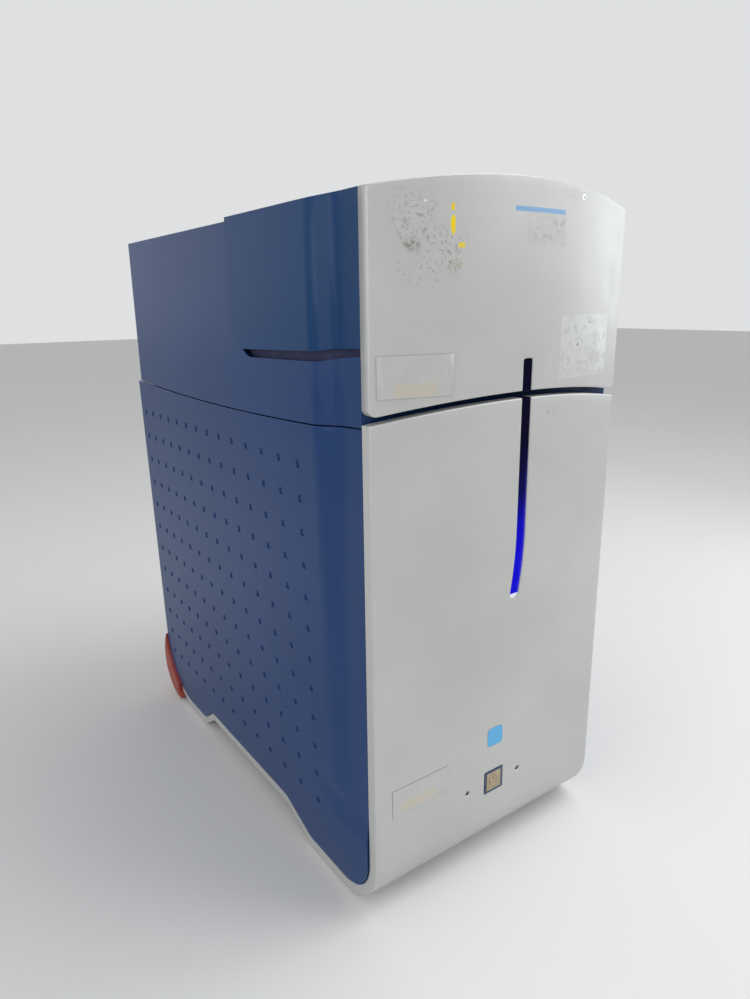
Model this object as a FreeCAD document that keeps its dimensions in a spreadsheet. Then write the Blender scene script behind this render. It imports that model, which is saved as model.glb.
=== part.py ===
import FreeCAD, Part
import math
import os
import re
import sys

import Sketcher
from FreeCAD import Placement, Rotation, Vector

# Microarray scanner: a bench-top cabinet with a silver front, blue covers and a hood
# that hinges up over the loading deck. Millimetres, +Z up, front towards -Y.
# Origin: centre of the bounding box at the level of the bench.

doc = FreeCAD.newDocument("MicroarrayScanner")
sheet = doc.addObject("Spreadsheet::Sheet", "Sizes")

# Driving dimensions. Names ending in _back are distances behind the side edges of the
# silver front face, names ending in _level are heights above the bench.
SIZES = [
    # outer form
    ("silver_width", 297.0),
    ("body_width", 318.6),
    ("hood_width", 326.0),
    ("side_bottom_width", 298.6),
    ("corner_level", 645.5),
    ("arch_rise", 14.0),
    ("front_bulge", 23.4),
    ("bulge_top_level", 365.0),
    ("bulge_foot_level", 160.0),
    ("rear_reach", 544.5),
    ("upper_rear_back", 518.0),
    ("side_rear_back", 531.0),
    ("side_rear_top_back", 522.0),
    # silver panels
    ("panel_depth", 10.5),
    ("panel_skin", 4.0),
    ("panel_corner_radius", 7.0),
    ("upper_panel_level", 478.1),
    ("lower_panel_level", 472.3),
    ("seam_rise", 12.5),
    ("bend_radius", 54.0),
    ("slit_width", 11.0),
    ("slit_top_level", 517.7),
    ("slit_foot_level", 298.0),
    ("slit_top_corner", 2.0),
    # blue covers
    ("cover_wall", 3.0),
    ("neck_back", 40.0),
    ("shoulder_back", 63.0),
    ("hood_shoulder_back", 59.0),
    ("foot_shoulder_back", 69.0),
    ("shoulder_ease", 0.55),
    ("rear_corner_radius", 8.0),
    ("side_seam_level", 468.5),
    ("seam_sag", 6.5),
    ("seam_gap", 1.2),
    ("cover_step", 3.6),
    ("body_gap", 0.5),
    ("hood_length", 210.0),
    ("hood_rear_flare", 4.5),
    ("wing_level", 523.3),
    ("wing_radius", 29.0),
    ("wing_rise", 4.3),
    ("wing_neck_rise", 6.5),
    ("wing_front_rise", 7.5),
    ("wing_gap", 7.3),
    ("wing_lap", 6.0),
    ("well_radius", 27.0),
    ("well_rise", 3.2),
    ("well_neck_rise", 6.2),
    ("well_front_rise", 9.0),
    # base rim and feet
    ("foot_clear", 2.2),
    ("rim_thickness", 10.0),
    ("tray_plate", 4.0),
    ("tray_flange", 8.0),
    ("recess_rise", 20.8),
    ("ramp_front_back", 121.0),
    ("ramp_rear_back", 171.0),
    ("step_front_back", 378.0),
    ("step_rear_back", 407.0),
    ("rim_blend", 20.0),
    ("lower_rear_radius", 80.0),
    ("rear_upstand", 5.0),
    ("rim_end_back", 494.0),
    ("pad_radius", 11.0),
    ("pad_spread", 110.0),
    ("pad_front_back", 85.0),
    ("pad_rear_back", 435.0),
    ("pad_height", 9.0),
    # rear bumper
    ("bumper_width", 308.0),
    ("bumper_top_level", 80.0),
    ("bumper_gap", 2.6),
    ("bumper_floor", 3.0),
    ("bumper_radius", 50.0),
    ("bumper_tip", 12.0),
    ("bumper_brow", 14.0),
    ("bumper_lip", 4.0),
    ("bumper_lip_rise", 6.0),
    ("lug_width", 40.0),
    ("lug_height", 10.0),
    ("lug_side", 100.0),
    ("lug_level", 60.0),
    # chassis
    ("plate_thickness", 3.0),
    ("chassis_width", 272.0),
    ("chassis_front_back", 62.0),
    ("chassis_rear_back", 508.0),
    ("post_front_back", 205.0),
    ("post_rear_back", 240.0),
    ("rear_sheet", 2.0),
    ("rear_edge_gap", 0.3),
    ("deck_level", 500.0),
    ("liner_inset", 7.0),
    ("liner_wall", 2.5),
    ("liner_level", 560.0),
    ("liner_rear_gap", 2.0),
    ("port_width", 60.0),
    ("port_depth", 46.0),
    ("port_back", 122.0),
    # hinge
    ("hinge_back", 222.0),
    ("hinge_level", 650.0),
    ("hinge_drop", 20.0),
    ("hinge_spread", 70.0),
    ("knuckle_radius", 6.0),
    ("knuckle_length", 14.0),
    ("pin_radius", 3.0),
    ("running_gap", 0.05),
    ("ear_thickness", 4.0),
    ("ear_gap", 0.5),
    ("strap_front_back", 165.0),
    ("strap_width", 13.0),
    ("strap_drop", 3.2),
    ("notch_width", 44.0),
    ("notch_rear_back", 240.0),
    ("beam_height", 24.0),
    ("beam_wall", 2.0),
    ("bracket_base", 3.0),
    ("bracket_width", 40.0),
    # optics
    ("optics_level", 300.0),
    ("optics_thickness", 12.0),
    ("optics_width", 252.0),
    ("optics_front_back", 40.0),
    ("optics_rear_back", 480.0),
    ("isolator_height", 12.0),
    ("isolator_radius", 10.0),
    ("isolator_spread", 112.0),
    ("isolator_front_back", 90.0),
    ("isolator_rear_back", 430.0),
    ("shelf_size", 36.0),
    ("beam_offset", 99.0),
    ("beam_height_over_plate", 25.0),
    ("laser_width", 46.0),
    ("laser_length", 140.0),
    ("laser_height", 50.0),
    ("laser_front_back", 300.0),
    ("fin_height", 22.0),
    ("fin_thickness", 2.0),
    ("fin_pitch", 6.0),
    ("beam_tube_radius", 8.0),
    ("beam_tube_bore", 5.0),
    ("mirror_box", 44.0),
    ("mirror_box_front_back", 206.0),
    ("wheel_radius", 23.0),
    ("wheel_thickness", 4.0),
    ("wheel_back", 196.0),
    ("filter_circle", 16.0),
    ("filter_radius", 5.5),
    ("filter_inset", 0.5),
    ("wheel_shaft_radius", 2.0),
    ("wheel_shaft_length", 8.0),
    ("wheel_motor_gap", 2.0),
    ("filter_motor_radius", 7.5),
    ("filter_motor_length", 22.0),
    ("pinhole_width", 28.0),
    ("pinhole_length", 22.0),
    ("pinhole_gap", 4.0),
    ("pinhole_radius", 1.0),
    ("detector_radius", 20.0),
    ("detector_length", 96.0),
    ("detector_shift", 5.0),
    # scan arm
    ("arm_back", 230.0),
    ("scan_motor_radius", 22.0),
    ("scan_motor_height", 34.0),
    ("arm_shaft_radius", 4.0),
    ("arm_reach", 80.0),
    ("arm_width", 22.0),
    ("arm_thickness", 6.0),
    ("arm_gap", 2.0),
    ("motor_floor", 5.0),
    ("shaft_end_gap", 1.0),
    ("lens_ring", 3.0),
    ("lens_radius", 9.0),
    ("lens_height", 14.0),
    # cartridge stage
    ("rail_level", 425.0),
    ("rail_radius", 5.0),
    ("rail_spread", 21.0),
    ("tower_width", 72.0),
    ("tower_thickness", 12.0),
    ("tower_front_back", 50.0),
    ("tower_rear_back", 400.0),
    ("tower_cap", 15.0),
    ("carriage_width", 58.0),
    ("carriage_length", 48.0),
    ("carriage_foot_level", 410.0),
    ("carriage_top_level", 496.0),
    ("cartridge_slot_width", 40.0),
    ("cartridge_slot_length", 14.0),
    ("cartridge_slot_depth", 50.0),
    ("screw_radius", 4.0),
    ("screw_end_gap", 0.5),
    ("stepper_size", 42.0),
    ("stepper_length", 40.0),
    # electronics
    ("supply_width", 110.0),
    ("supply_length", 160.0),
    ("supply_height", 60.0),
    ("supply_left", 130.0),
    ("supply_rear_gap", 20.0),
    ("board_width", 125.0),
    ("board_length", 320.0),
    ("board_thickness", 1.6),
    ("board_front_back", 130.0),
    ("standoff_height", 10.0),
    ("standoff_radius", 3.0),
    ("standoff_inset", 8.0),
    ("chip_size", 34.0),
    ("chip_height", 4.0),
    ("chip_inset", 12.0),
    ("chip_front", 40.0),
    ("chip_pitch", 90.0),
    ("header_width", 8.0),
    ("header_side", 54.0),
    ("header_pitch", 14.0),
    ("header_front", 150.0),
    ("header_length", 60.0),
    ("header_height", 9.0),
    # rear panel
    ("fan_size", 92.0),
    ("fan_depth", 25.0),
    ("fan_bore_radius", 42.0),
    ("fan_blade_radius", 40.0),
    ("fan_hub_radius", 17.0),
    ("fan_axle_radius", 2.5),
    ("fan_strut", 3.0),
    ("fan_rotor_gap", 1.0),
    ("fan_hub_end", 2.0),
    ("blade_thickness", 1.6),
    ("blade_angle", 50.0),
    ("blade_root", 4.0),
    ("fan_side", 70.0),
    ("fan_level", 380.0),
    ("guard_wire", 1.2),
    ("guard_ring_radius", 12.0),
    ("guard_ring_pitch", 9.5),
    ("guard_overhang", 4.0),
    ("inlet_width", 50.0),
    ("inlet_height", 30.0),
    ("inlet_depth", 26.0),
    ("inlet_flange", 4.0),
    ("flange_thickness", 2.0),
    ("inlet_well_width", 24.0),
    ("inlet_well_height", 16.0),
    ("inlet_well_depth", 15.0),
    ("contact_width", 2.0),
    ("contact_length", 10.0),
    ("contact_height", 6.0),
    ("contact_pitch", 7.0),
    ("inlet_side", 90.0),
    ("inlet_level", 165.0),
    ("port_plate_width", 70.0),
    ("port_plate_height", 24.0),
    ("port_plate_side", 70.0),
    ("port_plate_level", 165.0),
    ("port_plate_depth", 14.0),
    ("port_plate_proud", 1.0),
    ("data_well_width", 14.0),
    ("data_well_height", 10.0),
    ("data_well_depth", 8.0),
    ("data_well_pitch", 20.0),
    ("screw_head_radius", 3.5),
    ("screw_head_height", 2.2),
    ("panel_screw_side", 132.0),
    ("panel_screw_inset", 14.0),
    # front details
    ("button_size", 19.5),
    ("button_level", 90.4),
    ("button_proud", 0.5),
    ("button_length", 14.0),
    ("button_travel", 2.0),
    ("bezel_size", 24.8),
    ("bezel_gap", 0.4),
    ("bezel_proud", 0.2),
    ("bezel_depth", 5.0),
    ("window_radius", 2.4),
    ("window_spread", 35.0),
    ("window_level", 89.3),
    ("window_depth", 4.6),
    ("window_inset", 1.5),
    ("switch_size", 30.0),
    ("switch_gap", 0.4),
    ("switch_depth", 8.0),
    ("guide_width", 18.0),
    ("guide_depth", 6.0),
    ("guide_gap", 0.3),
    ("guide_inset", 1.2),
    ("guide_side_gap", 0.15),
    ("guide_lap", 6.0),
    ("guide_end_gap", 1.0),
    ("led_board_width", 24.0),
    ("label_thickness", 0.3),
    ("label_seat", 0.15),
    ("label_corner", 1.0),
    ("upper_label_width", 65.0),
    ("upper_label_height", 33.0),
    ("upper_label_side", 110.6),
    ("upper_label_level", 509.0),
    ("lower_label_width", 67.0),
    ("lower_label_height", 29.0),
    ("lower_label_side", 95.6),
    ("lower_label_level", 119.7),
    ("badge_size", 20.0),
    ("badge_level", 142.2),
    ("badge_corner", 4.0),
]
for row, (alias, value) in enumerate(SIZES, 1):
    sheet.set("A%d" % row, alias)
    sheet.set("B%d" % row, str(value))
    sheet.setAlias("B%d" % row, alias)
doc.recompute()
NAMES = {alias for alias, value in SIZES}


def size(alias):
    """The number in the cell with this alias."""
    return float(sheet.get(alias))


def bind(item, prop, expression):
    """Bind a property to an expression over the sheet's aliases."""
    def full_name(word):
        return "Sizes." + word.group() if word.group() in NAMES else word.group()

    item.setExpression(prop, re.sub(r"[a-z_]+", full_name, expression))


# Y of the side edges of the silver front face, as an expression and as a number
FRONT = "(front_bulge - rear_reach) / 2"
FRONT_Y = (size("front_bulge") - size("rear_reach")) / 2
TRAY_TOP = "(foot_clear + rim_thickness + recess_rise)"
PLATE_TOP = "(%s + plate_thickness)" % TRAY_TOP
OPTICS_TOP = "(optics_level + optics_thickness)"
BEAM_LEVEL = "(%s + beam_height_over_plate)" % OPTICS_TOP
FAR = 900.0

parts = []


def part(item, label):
    """Give a finished sub-part its own name and keep it for the hand-in."""
    item.Label = label
    parts.append((item, label))
    return item


def set_base(item, at):
    for axis, expression in zip("xyz", at):
        bind(item, "Placement.Base." + axis, expression)


def box(name, length, width, height, at):
    """Box with its lowest corner at the three expressions in at."""
    item = doc.addObject("Part::Box", name)
    for prop, expression in (("Length", length), ("Width", width), ("Height", height)):
        bind(item, prop, expression)
    set_base(item, at)
    return item


def centred_box(name, length, width, height, at):
    """Box centred in X on at, with its front face and its foot at the other two values."""
    return box(name, length, width, height, ("%s - (%s) / 2" % (at[0], length), at[1], at[2]))


TURNS = {
    "x": Rotation(Vector(0, 1, 0), 90),
    "y": Rotation(Vector(1, 0, 0), -90),
    "z": Rotation(),
}


def rod(name, radius, length, at, axis="z"):
    """Cylinder from the point at, along +X, +Y or +Z."""
    item = doc.addObject("Part::Cylinder", name)
    item.Placement = Placement(Vector(), TURNS[axis])
    bind(item, "Radius", radius)
    bind(item, "Height", length)
    set_base(item, at)
    return item


def fuse(name, items):
    item = doc.addObject("Part::MultiFuse", name)
    item.Shapes = items
    return item


def group(name, items):
    """Separate solids kept together in one sub-part."""
    item = doc.addObject("Part::Compound", name)
    item.Links = items
    return item


def cut(name, base, *tools):
    item = doc.addObject("Part::Cut", name)
    item.Base = base
    item.Tool = tools[0] if len(tools) == 1 else fuse(name + "_tools", list(tools))
    return item


def common(name, *items):
    item = doc.addObject("Part::MultiCommon", name)
    item.Shapes = list(items)
    return item


def feature(name, shape):
    item = doc.addObject("Part::Feature", name)
    item.Shape = shape
    return item


# Plates drawn as sketches and padded

def outline_sketch(body, name, role, points):
    """Closed outline whose corners are tied to the sheet, on one of the body's own planes."""
    sketch = body.newObject("Sketcher::SketchObject", name)
    plane = [item for item in body.Origin.OriginFeatures if item.Role == role][0]
    sketch.AttachmentSupport = [(plane, "")]
    sketch.MapMode = "FlatFace"
    count = len(points)
    ring = [(100 * math.cos(2 * math.pi * n / count), 100 * math.sin(2 * math.pi * n / count))
            for n in range(count)]
    for n in range(count):
        start, end = ring[n], ring[(n + 1) % count]
        sketch.addGeometry(Part.LineSegment(Vector(*start, 0), Vector(*end, 0)), False)
    for n in range(count):
        sketch.addConstraint(Sketcher.Constraint("Coincident", n, 2, (n + 1) % count, 1))
    for n, pair in enumerate(points):
        for kind, start, expression in zip(("DistanceX", "DistanceY"), ring[n], pair):
            index = sketch.addConstraint(Sketcher.Constraint(kind, -1, 1, n, 1, start))
            bind(sketch, "Constraints[%d]" % index, expression)
    return sketch


def plate(name, role, points, thickness, base, windows=()):
    """Padded outline with windows pocketed through it, moved to base."""
    body = doc.addObject("PartDesign::Body", name)
    pad = body.newObject("PartDesign::Pad", name + "_pad")
    pad.Profile = outline_sketch(body, name + "_outline", role, points)
    bind(pad, "Length", thickness)
    for number, window in enumerate(windows):
        pocket = body.newObject("PartDesign::Pocket", "%s_window%d" % (name, number))
        pocket.Profile = outline_sketch(body, "%s_window_outline%d" % (name, number), role, window)
        pocket.Type = "ThroughAll"
        pocket.Midplane = True
    set_base(body, base)
    return body


def rectangle(left, right, low, high):
    return [(left, low), (right, low), (right, high), (left, high)]


# Freeform covers, worked out from the sheet

def rounded_wire(points, place):
    """Closed wire through (u, v, radius) corners with tangent arcs; place maps (u, v) to space."""
    count = len(points)
    ends = []
    for n in range(count):
        u, v, radius = points[n]
        here = Vector(u, v, 0)
        before = Vector(points[n - 1][0], points[n - 1][1], 0)
        after = Vector(points[(n + 1) % count][0], points[(n + 1) % count][1], 0)
        if radius <= 0:
            ends.append((here, None, here))
            continue
        to_before = (before - here).normalize()
        to_after = (after - here).normalize()
        half = to_before.getAngle(to_after) / 2
        reach = radius / math.tan(half)
        bisector = (to_before + to_after).normalize()
        middle = here + bisector * (radius / math.sin(half) - radius)
        ends.append((here + to_before * reach, middle, here + to_after * reach))
    edges = []
    for n in range(count):
        start, middle, end = ends[n]
        following = ends[(n + 1) % count][0]
        if middle is not None:
            bend = Part.Arc(place(start.x, start.y), place(middle.x, middle.y), place(end.x, end.y))
            edges.append(bend.toShape())
        if (following - end).Length > 1e-6:
            edges.append(Part.makeLine(place(end.x, end.y), place(following.x, following.y)))
    return Part.Wire(edges)


def at_level(level):
    return lambda x, back: Vector(x, FRONT_Y + back, level)


def side_view(x):
    return lambda back, level: Vector(x, FRONT_Y + back, level)


def side_prism(points, half_width):
    """Side-view outline (back, level, radius) drawn out across the machine."""
    return Part.Face(rounded_wire(points, side_view(-half_width))).extrude(Vector(2 * half_width, 0, 0))


def arch_cylinder(width, rise, crown_level):
    """Solid under an arch along Y that spans width with the given rise."""
    radius = width ** 2 / (8 * rise) + rise / 2
    return Part.makeCylinder(radius, 2 * FAR, Vector(0, -FAR, crown_level - radius), Vector(0, 1, 0))


def shoulder_radius(side, shoulder):
    """Radius of the two arcs between neck and side, which take up a share of the slope."""
    run = shoulder - size("neck_back")
    step = abs(side - size("silver_width") / 2)
    return size("shoulder_ease") * math.hypot(run, step) / 2 / math.tan(math.atan2(step, run) / 2)


def cover_outline(half_side, shoulder, front_back, rear_back, inset, rear_radius):
    """Plan corners of a blue cover: narrow neck at the front, shoulders, straight sides."""
    neck = size("silver_width") / 2 - inset
    side = half_side - inset
    radius = shoulder_radius(half_side, shoulder)
    right = [
        (neck, front_back + inset, 0),
        (neck, size("neck_back"), radius),
        (side, shoulder, radius),
        (side, rear_back, rear_radius),
    ]
    left = [(-x, back, radius) for x, back, radius in reversed(right)]
    return right + left


def cover_prism(half_side, shoulder, front_back, rear_back, inset, foot, top, rear_radius=0.0):
    corners = cover_outline(half_side, shoulder, front_back, rear_back, inset, rear_radius)
    return Part.Face(rounded_wire(corners, at_level(foot))).extrude(Vector(0, 0, top - foot))


def block(x_low, x_high, back_low, back_high, low, high):
    return Part.makeBox(x_high - x_low, back_high - back_low, high - low,
                        Vector(x_low, FRONT_Y + back_low, low))


def crown():
    return size("corner_level") + size("arch_rise")


def bulge(level):
    """How far the middle of the silver front stands out at this height."""
    share = (level - size("bulge_foot_level")) / (size("bulge_top_level") - size("bulge_foot_level"))
    share = min(max(share, 0.0), 1.0)
    return size("front_bulge") * share * share * (3 - 2 * share)


def bulged_section(level, inset, rear_back):
    """Plan outline of the silver front at one height: bowed front edge, flat rear edge."""
    place = at_level(level)
    full = size("silver_width") / 2
    half = full - inset
    rise = bulge(level)
    edge = rise * (1 - (half / full) ** 2)
    left, right = place(-half, inset - edge), place(half, inset - edge)
    if rise > 0.01:
        front = Part.Arc(left, place(0, inset - rise), right).toShape()
    else:
        front = Part.LineSegment(left, right).toShape()
    rear_right, rear_left = place(half, rear_back), place(-half, rear_back)
    return Part.Wire([front, Part.makeLine(right, rear_right), Part.makeLine(rear_right, rear_left),
                      Part.makeLine(rear_left, left)])


def ruled_loft(sections):
    solid = Part.makeLoft(sections, True, True)
    if solid.Volume < 0:
        solid.reverse()
    return solid


def bulged_solid(inset, rear_back, foot, top):
    """Silver front body between two heights, shrunk by inset on its front and sides."""
    low, high = size("bulge_foot_level"), size("bulge_top_level")
    steps = 13
    pieces = []
    if foot < low:
        pieces.append(Part.Face(bulged_section(foot, inset, rear_back)).extrude(Vector(0, 0, low - foot)))
    if foot < high:
        levels = [low + (high - low) * n / (steps - 1) for n in range(steps)]
        pieces.append(ruled_loft([bulged_section(level, inset, rear_back) for level in levels]))
    start = max(foot, high)
    pieces.append(Part.Face(bulged_section(start, inset, rear_back)).extrude(Vector(0, 0, top - start)))
    solid = pieces[0]
    for piece in pieces[1:]:
        solid = solid.fuse(piece)
    return solid.removeSplitter()


def front_view_prism(half, foot, foot_rise, top_crown, top_rise, radius):
    """Front-view outline with arched foot and top, drawn through the front of the machine."""
    arch = arch_cylinder(size("silver_width"), top_rise, top_crown)
    foot_arch = arch_cylinder(size("silver_width"), foot_rise, foot + foot_rise)
    slab = block(-half, half, -FAR / 3, FAR / 3, foot - 2 * foot_rise, FAR)
    solid = slab.common(arch).cut(foot_arch)
    if radius > 0:
        corners = [edge for edge in solid.Edges
                   if abs(edge.BoundBox.XLength) < 0.01 and abs(edge.BoundBox.ZLength) < 0.01
                   and edge.BoundBox.ZMin < foot + foot_rise and abs(abs(edge.BoundBox.XMin) - half) < 0.01]
        solid = solid.makeFillet(radius, corners)
    return solid


def slit_tool(half_width, clearance=0.0):
    """Upright slot in the middle of the front with a round foot and small top corners."""
    low = size("slit_foot_level") + clearance + half_width
    high = size("slit_top_level") - clearance
    corner = size("slit_top_corner")
    front, rear = -size("front_bulge") - 5, size("panel_depth") + 1
    slot = block(-half_width, half_width, front, rear, low, high)
    corners = [edge for edge in slot.Edges if edge.BoundBox.YLength > 1 and edge.BoundBox.ZMin > low + 1]
    slot = slot.makeFillet(corner, corners)
    return slot.fuse(Part.makeCylinder(half_width, rear - front, Vector(0, FRONT_Y + front, low),
                                       Vector(0, 1, 0)))


def foot_line(offset):
    """Corners of the side-view line under the blue side, moved outwards by offset."""
    low = size("foot_clear") + size("rim_thickness") - offset
    high = low + size("recess_rise")
    blend = size("rim_blend")
    return [
        (size("ramp_front_back"), low, blend),
        (size("ramp_rear_back"), high, blend),
        (size("step_front_back"), high, blend),
        (size("step_rear_back"), low, blend),
        (size("side_rear_back") + offset, low, size("lower_rear_radius") + offset),
    ]


# Silver front panels

def lower_front_panel():
    skin = size("panel_skin")
    depth = size("panel_depth")
    bend = size("bend_radius")
    centre = size("foot_clear") + bend
    half = size("silver_width") / 2
    seam_crown = size("lower_panel_level") + size("seam_rise")
    top_arch = arch_cylinder(size("silver_width"), size("seam_rise"), seam_crown)
    low_arch = arch_cylinder(size("silver_width"), size("seam_rise"), seam_crown - skin)
    outer = bulged_solid(0, depth, centre, seam_crown + skin)
    inner = bulged_solid(skin, depth + 1, centre + skin, seam_crown + skin)
    shell = outer.common(top_arch).cut(inner.common(low_arch))
    low = size("foot_clear")
    lip = side_prism([(0, centre, 0), (0, low, bend), (bend, low, 0), (bend, low + depth, 0),
                      (depth, low + depth, bend - depth), (depth, centre, 0)], half)
    solid = shell.fuse(lip).removeSplitter()
    solid = solid.cut(slit_tool(size("slit_width") / 2))
    pocket = size("bezel_size") / 2
    level = size("button_level")
    solid = solid.cut(block(-pocket, pocket, -1, skin + 1, level - pocket, level + pocket))
    for x in (-size("window_spread"), size("window_spread")):
        solid = solid.cut(Part.makeCylinder(size("window_radius"), skin + 2,
                                            Vector(x, FRONT_Y - 1, size("window_level")), Vector(0, 1, 0)))
    return solid


def upper_front_panel():
    skin = size("panel_skin")
    depth = size("panel_depth")
    half = size("silver_width") / 2
    foot = size("upper_panel_level")
    rise, arch = size("seam_rise"), size("arch_rise")
    low, high = foot - rise, crown() + skin
    outer = bulged_solid(0, depth, low, high)
    outer = outer.common(front_view_prism(half, foot, rise, crown(), arch, size("panel_corner_radius")))
    inner = bulged_solid(skin, depth + 1, low, high)
    inner = inner.common(front_view_prism(half - skin, foot + skin, rise, crown() - skin, arch, 0))
    return outer.cut(inner).cut(slit_tool(size("slit_width") / 2))


part(feature("LowerFrontPanel", lower_front_panel()), "lower_front_panel")
part(feature("UpperFrontPanel", upper_front_panel()), "upper_front_panel")


# Blue covers

def side_cover(sign):
    """Tapered shell of one side, cut to the base rim below and to the sagging seam above."""
    wall = size("cover_wall")
    low, high = 0.0, size("side_seam_level") + 2 * size("seam_sag")
    bottom, top = size("side_bottom_width") / 2, size("body_width") / 2
    foot_shoulder, seam_shoulder = size("foot_shoulder_back"), size("shoulder_back")
    sections = []
    for level in (low, high):
        share = level / size("side_seam_level")
        side = bottom + (top - bottom) * share
        shoulder = foot_shoulder + (seam_shoulder - foot_shoulder) * share
        neck = size("silver_width") / 2
        radius = shoulder_radius(side, shoulder)
        depth = size("panel_depth")
        rear = size("side_rear_back") + 20
        sections.append(rounded_wire([
            (sign * neck, depth, 0),
            (sign * neck, size("neck_back"), radius),
            (sign * side, shoulder, radius),
            (sign * side, rear, 0),
            (sign * (side - wall), rear, 0),
            (sign * (side - wall), shoulder, radius),
            (sign * (neck - wall), size("neck_back"), radius),
            (sign * (neck - wall), depth, 0),
        ], at_level(level)))
    return ruled_loft(sections).common(side_profile())


def side_profile():
    """Side-view solid of the lower blue sides."""
    seam = size("side_seam_level")
    depth = size("panel_depth")
    bend = size("bend_radius")
    rear = size("side_rear_back")
    floor = size("foot_clear") + depth
    base = foot_line(0)
    points = [(depth, seam, 0), (depth, floor, bend - depth), (bend, floor, 0),
              (bend + size("body_gap"), base[0][1], 0)]
    points += base
    points += [(rear, size("lower_rear_radius") + base[-1][1] + size("rear_upstand"), 0),
               (size("side_rear_top_back"), seam, 0)]
    prism = side_prism(points, FAR / 4)
    half_length = (size("side_rear_top_back") - depth) / 2
    radius = half_length ** 2 / (2 * size("seam_sag")) + size("seam_sag") / 2
    middle = Vector(-FAR / 4, FRONT_Y + depth + half_length, seam - size("seam_sag") + radius)
    return prism.cut(Part.makeCylinder(radius, FAR / 2, middle, Vector(1, 0, 0)))


part(feature("LeftSideCover", side_cover(-1)), "left_side_cover")
part(feature("RightSideCover", side_cover(1)), "right_side_cover")


def wing_outline(level, name, rear_back, flare):
    """Side-view solid above a lower edge that rises forwards: the wings, or the well they lie in."""
    middle, neck, front = (level + size(name + rise) for rise in ("_rise", "_neck_rise", "_front_rise"))
    return side_prism([
        (-FAR / 4, front, 0),
        (size("panel_depth"), front, 0),
        (size("neck_back"), neck, 0),
        (size("hood_shoulder_back"), middle, 0),
        (rear_back + flare, level, size(name + "_radius")),
        (rear_back, size("corner_level"), 0),
        (rear_back, FAR, 0),
        (-FAR / 4, FAR, 0),
    ], FAR / 4)


def upper_cover():
    """Wraps the rear top and both sides, open at the front where the hood lies."""
    wall = size("cover_wall")
    half = size("body_width") / 2
    shoulder = size("shoulder_back")
    front = size("panel_depth") + size("body_gap")
    rear = size("upper_rear_back")
    seam = size("side_seam_level") + size("seam_gap")
    foot = seam - 3 * size("seam_sag")
    top = crown() - size("cover_step")
    outer = cover_prism(half, shoulder, front, rear, 0, foot, FAR, size("rear_corner_radius"))
    outer = outer.common(arch_cylinder(size("silver_width"), size("arch_rise"), top))
    inner = cover_prism(half, shoulder, front, rear - wall, wall, foot - 1, FAR,
                        size("rear_corner_radius") - wall)
    inner = inner.common(arch_cylinder(size("silver_width"), size("arch_rise"), top - wall))
    shell = outer.cut(inner)
    half_length = (rear - front) / 2
    radius = half_length ** 2 / (2 * size("seam_sag")) + size("seam_sag") / 2
    middle = Vector(-FAR / 2, FRONT_Y + front + half_length, seam - size("seam_sag") + radius)
    shell = shell.common(Part.makeCylinder(radius, FAR, middle, Vector(1, 0, 0)))
    well_edge = size("hood_length") - size("wing_lap")
    shell = shell.cut(wing_outline(size("wing_level") - size("wing_gap"), "well", well_edge, 0))
    for x in (-size("hinge_spread"), size("hinge_spread")):
        reach = size("notch_width") / 2
        shell = shell.cut(block(x - reach, x + reach, well_edge - 1, size("notch_rear_back"),
                                size("hinge_level") - size("hinge_drop"), FAR))
    return shell


def hood_shell():
    """Arched top, two wings and a front wall behind the silver panel; open below and behind."""
    wall = size("cover_wall")
    half = size("hood_width") / 2
    shoulder = size("hood_shoulder_back")
    front = size("panel_depth")
    rear = size("hood_length")
    flare = size("hood_rear_flare")
    foot = size("wing_level")
    outer = cover_prism(half, shoulder, front, rear + 2 * flare, 0, foot - wall, FAR)
    outer = outer.common(arch_cylinder(size("silver_width"), size("arch_rise"), crown()))
    outer = outer.common(wing_outline(foot, "wing", rear, flare))
    inner = cover_prism(half, shoulder, front, rear + 3 * flare, wall, foot - 2 * wall, FAR)
    inner = inner.common(arch_cylinder(size("silver_width"), size("arch_rise"), crown() - wall))
    return outer.cut(inner)


part(feature("UpperCover", upper_cover()), "upper_cover")
part(feature("HoodShell", hood_shell()), "hood_shell")


# Base rim, bumper and rubber pads

def rim_band(depth, half_width):
    """Band under the blue sides, between their lower line and the same line moved down by depth."""
    bend = size("bend_radius")
    inner, outer = foot_line(0), foot_line(depth)
    rear_top = size("lower_rear_radius") + inner[-1][1] + size("rear_upstand")
    points = [(bend, inner[0][1], 0)] + inner + [(size("side_rear_back"), rear_top, 0)]
    points += [(size("side_rear_back") + depth, rear_top, 0)] + outer[::-1] + [(bend, outer[0][1], 0)]
    return side_prism(points, half_width)


def base_tray():
    """Front foot, raised recess and rear foot: a plate with a deep rim down both sides."""
    half = size("silver_width") / 2
    flange = size("tray_flange")
    rim = rim_band(size("rim_thickness"), half).cut(rim_band(2 * size("rim_thickness"), half - flange))
    tray = rim.fuse(rim_band(size("tray_plate"), half))
    tray = tray.common(block(-FAR, FAR, 0, size("rim_end_back"), -FAR, size("lower_rear_radius") / 2))
    for x in (-size("pad_spread"), size("pad_spread")):
        for back in (size("pad_front_back"), size("pad_rear_back")):
            tray = tray.cut(Part.makeCylinder(size("pad_radius"), size("pad_height"),
                                              Vector(x, FRONT_Y + back, 0)))
    return tray


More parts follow.
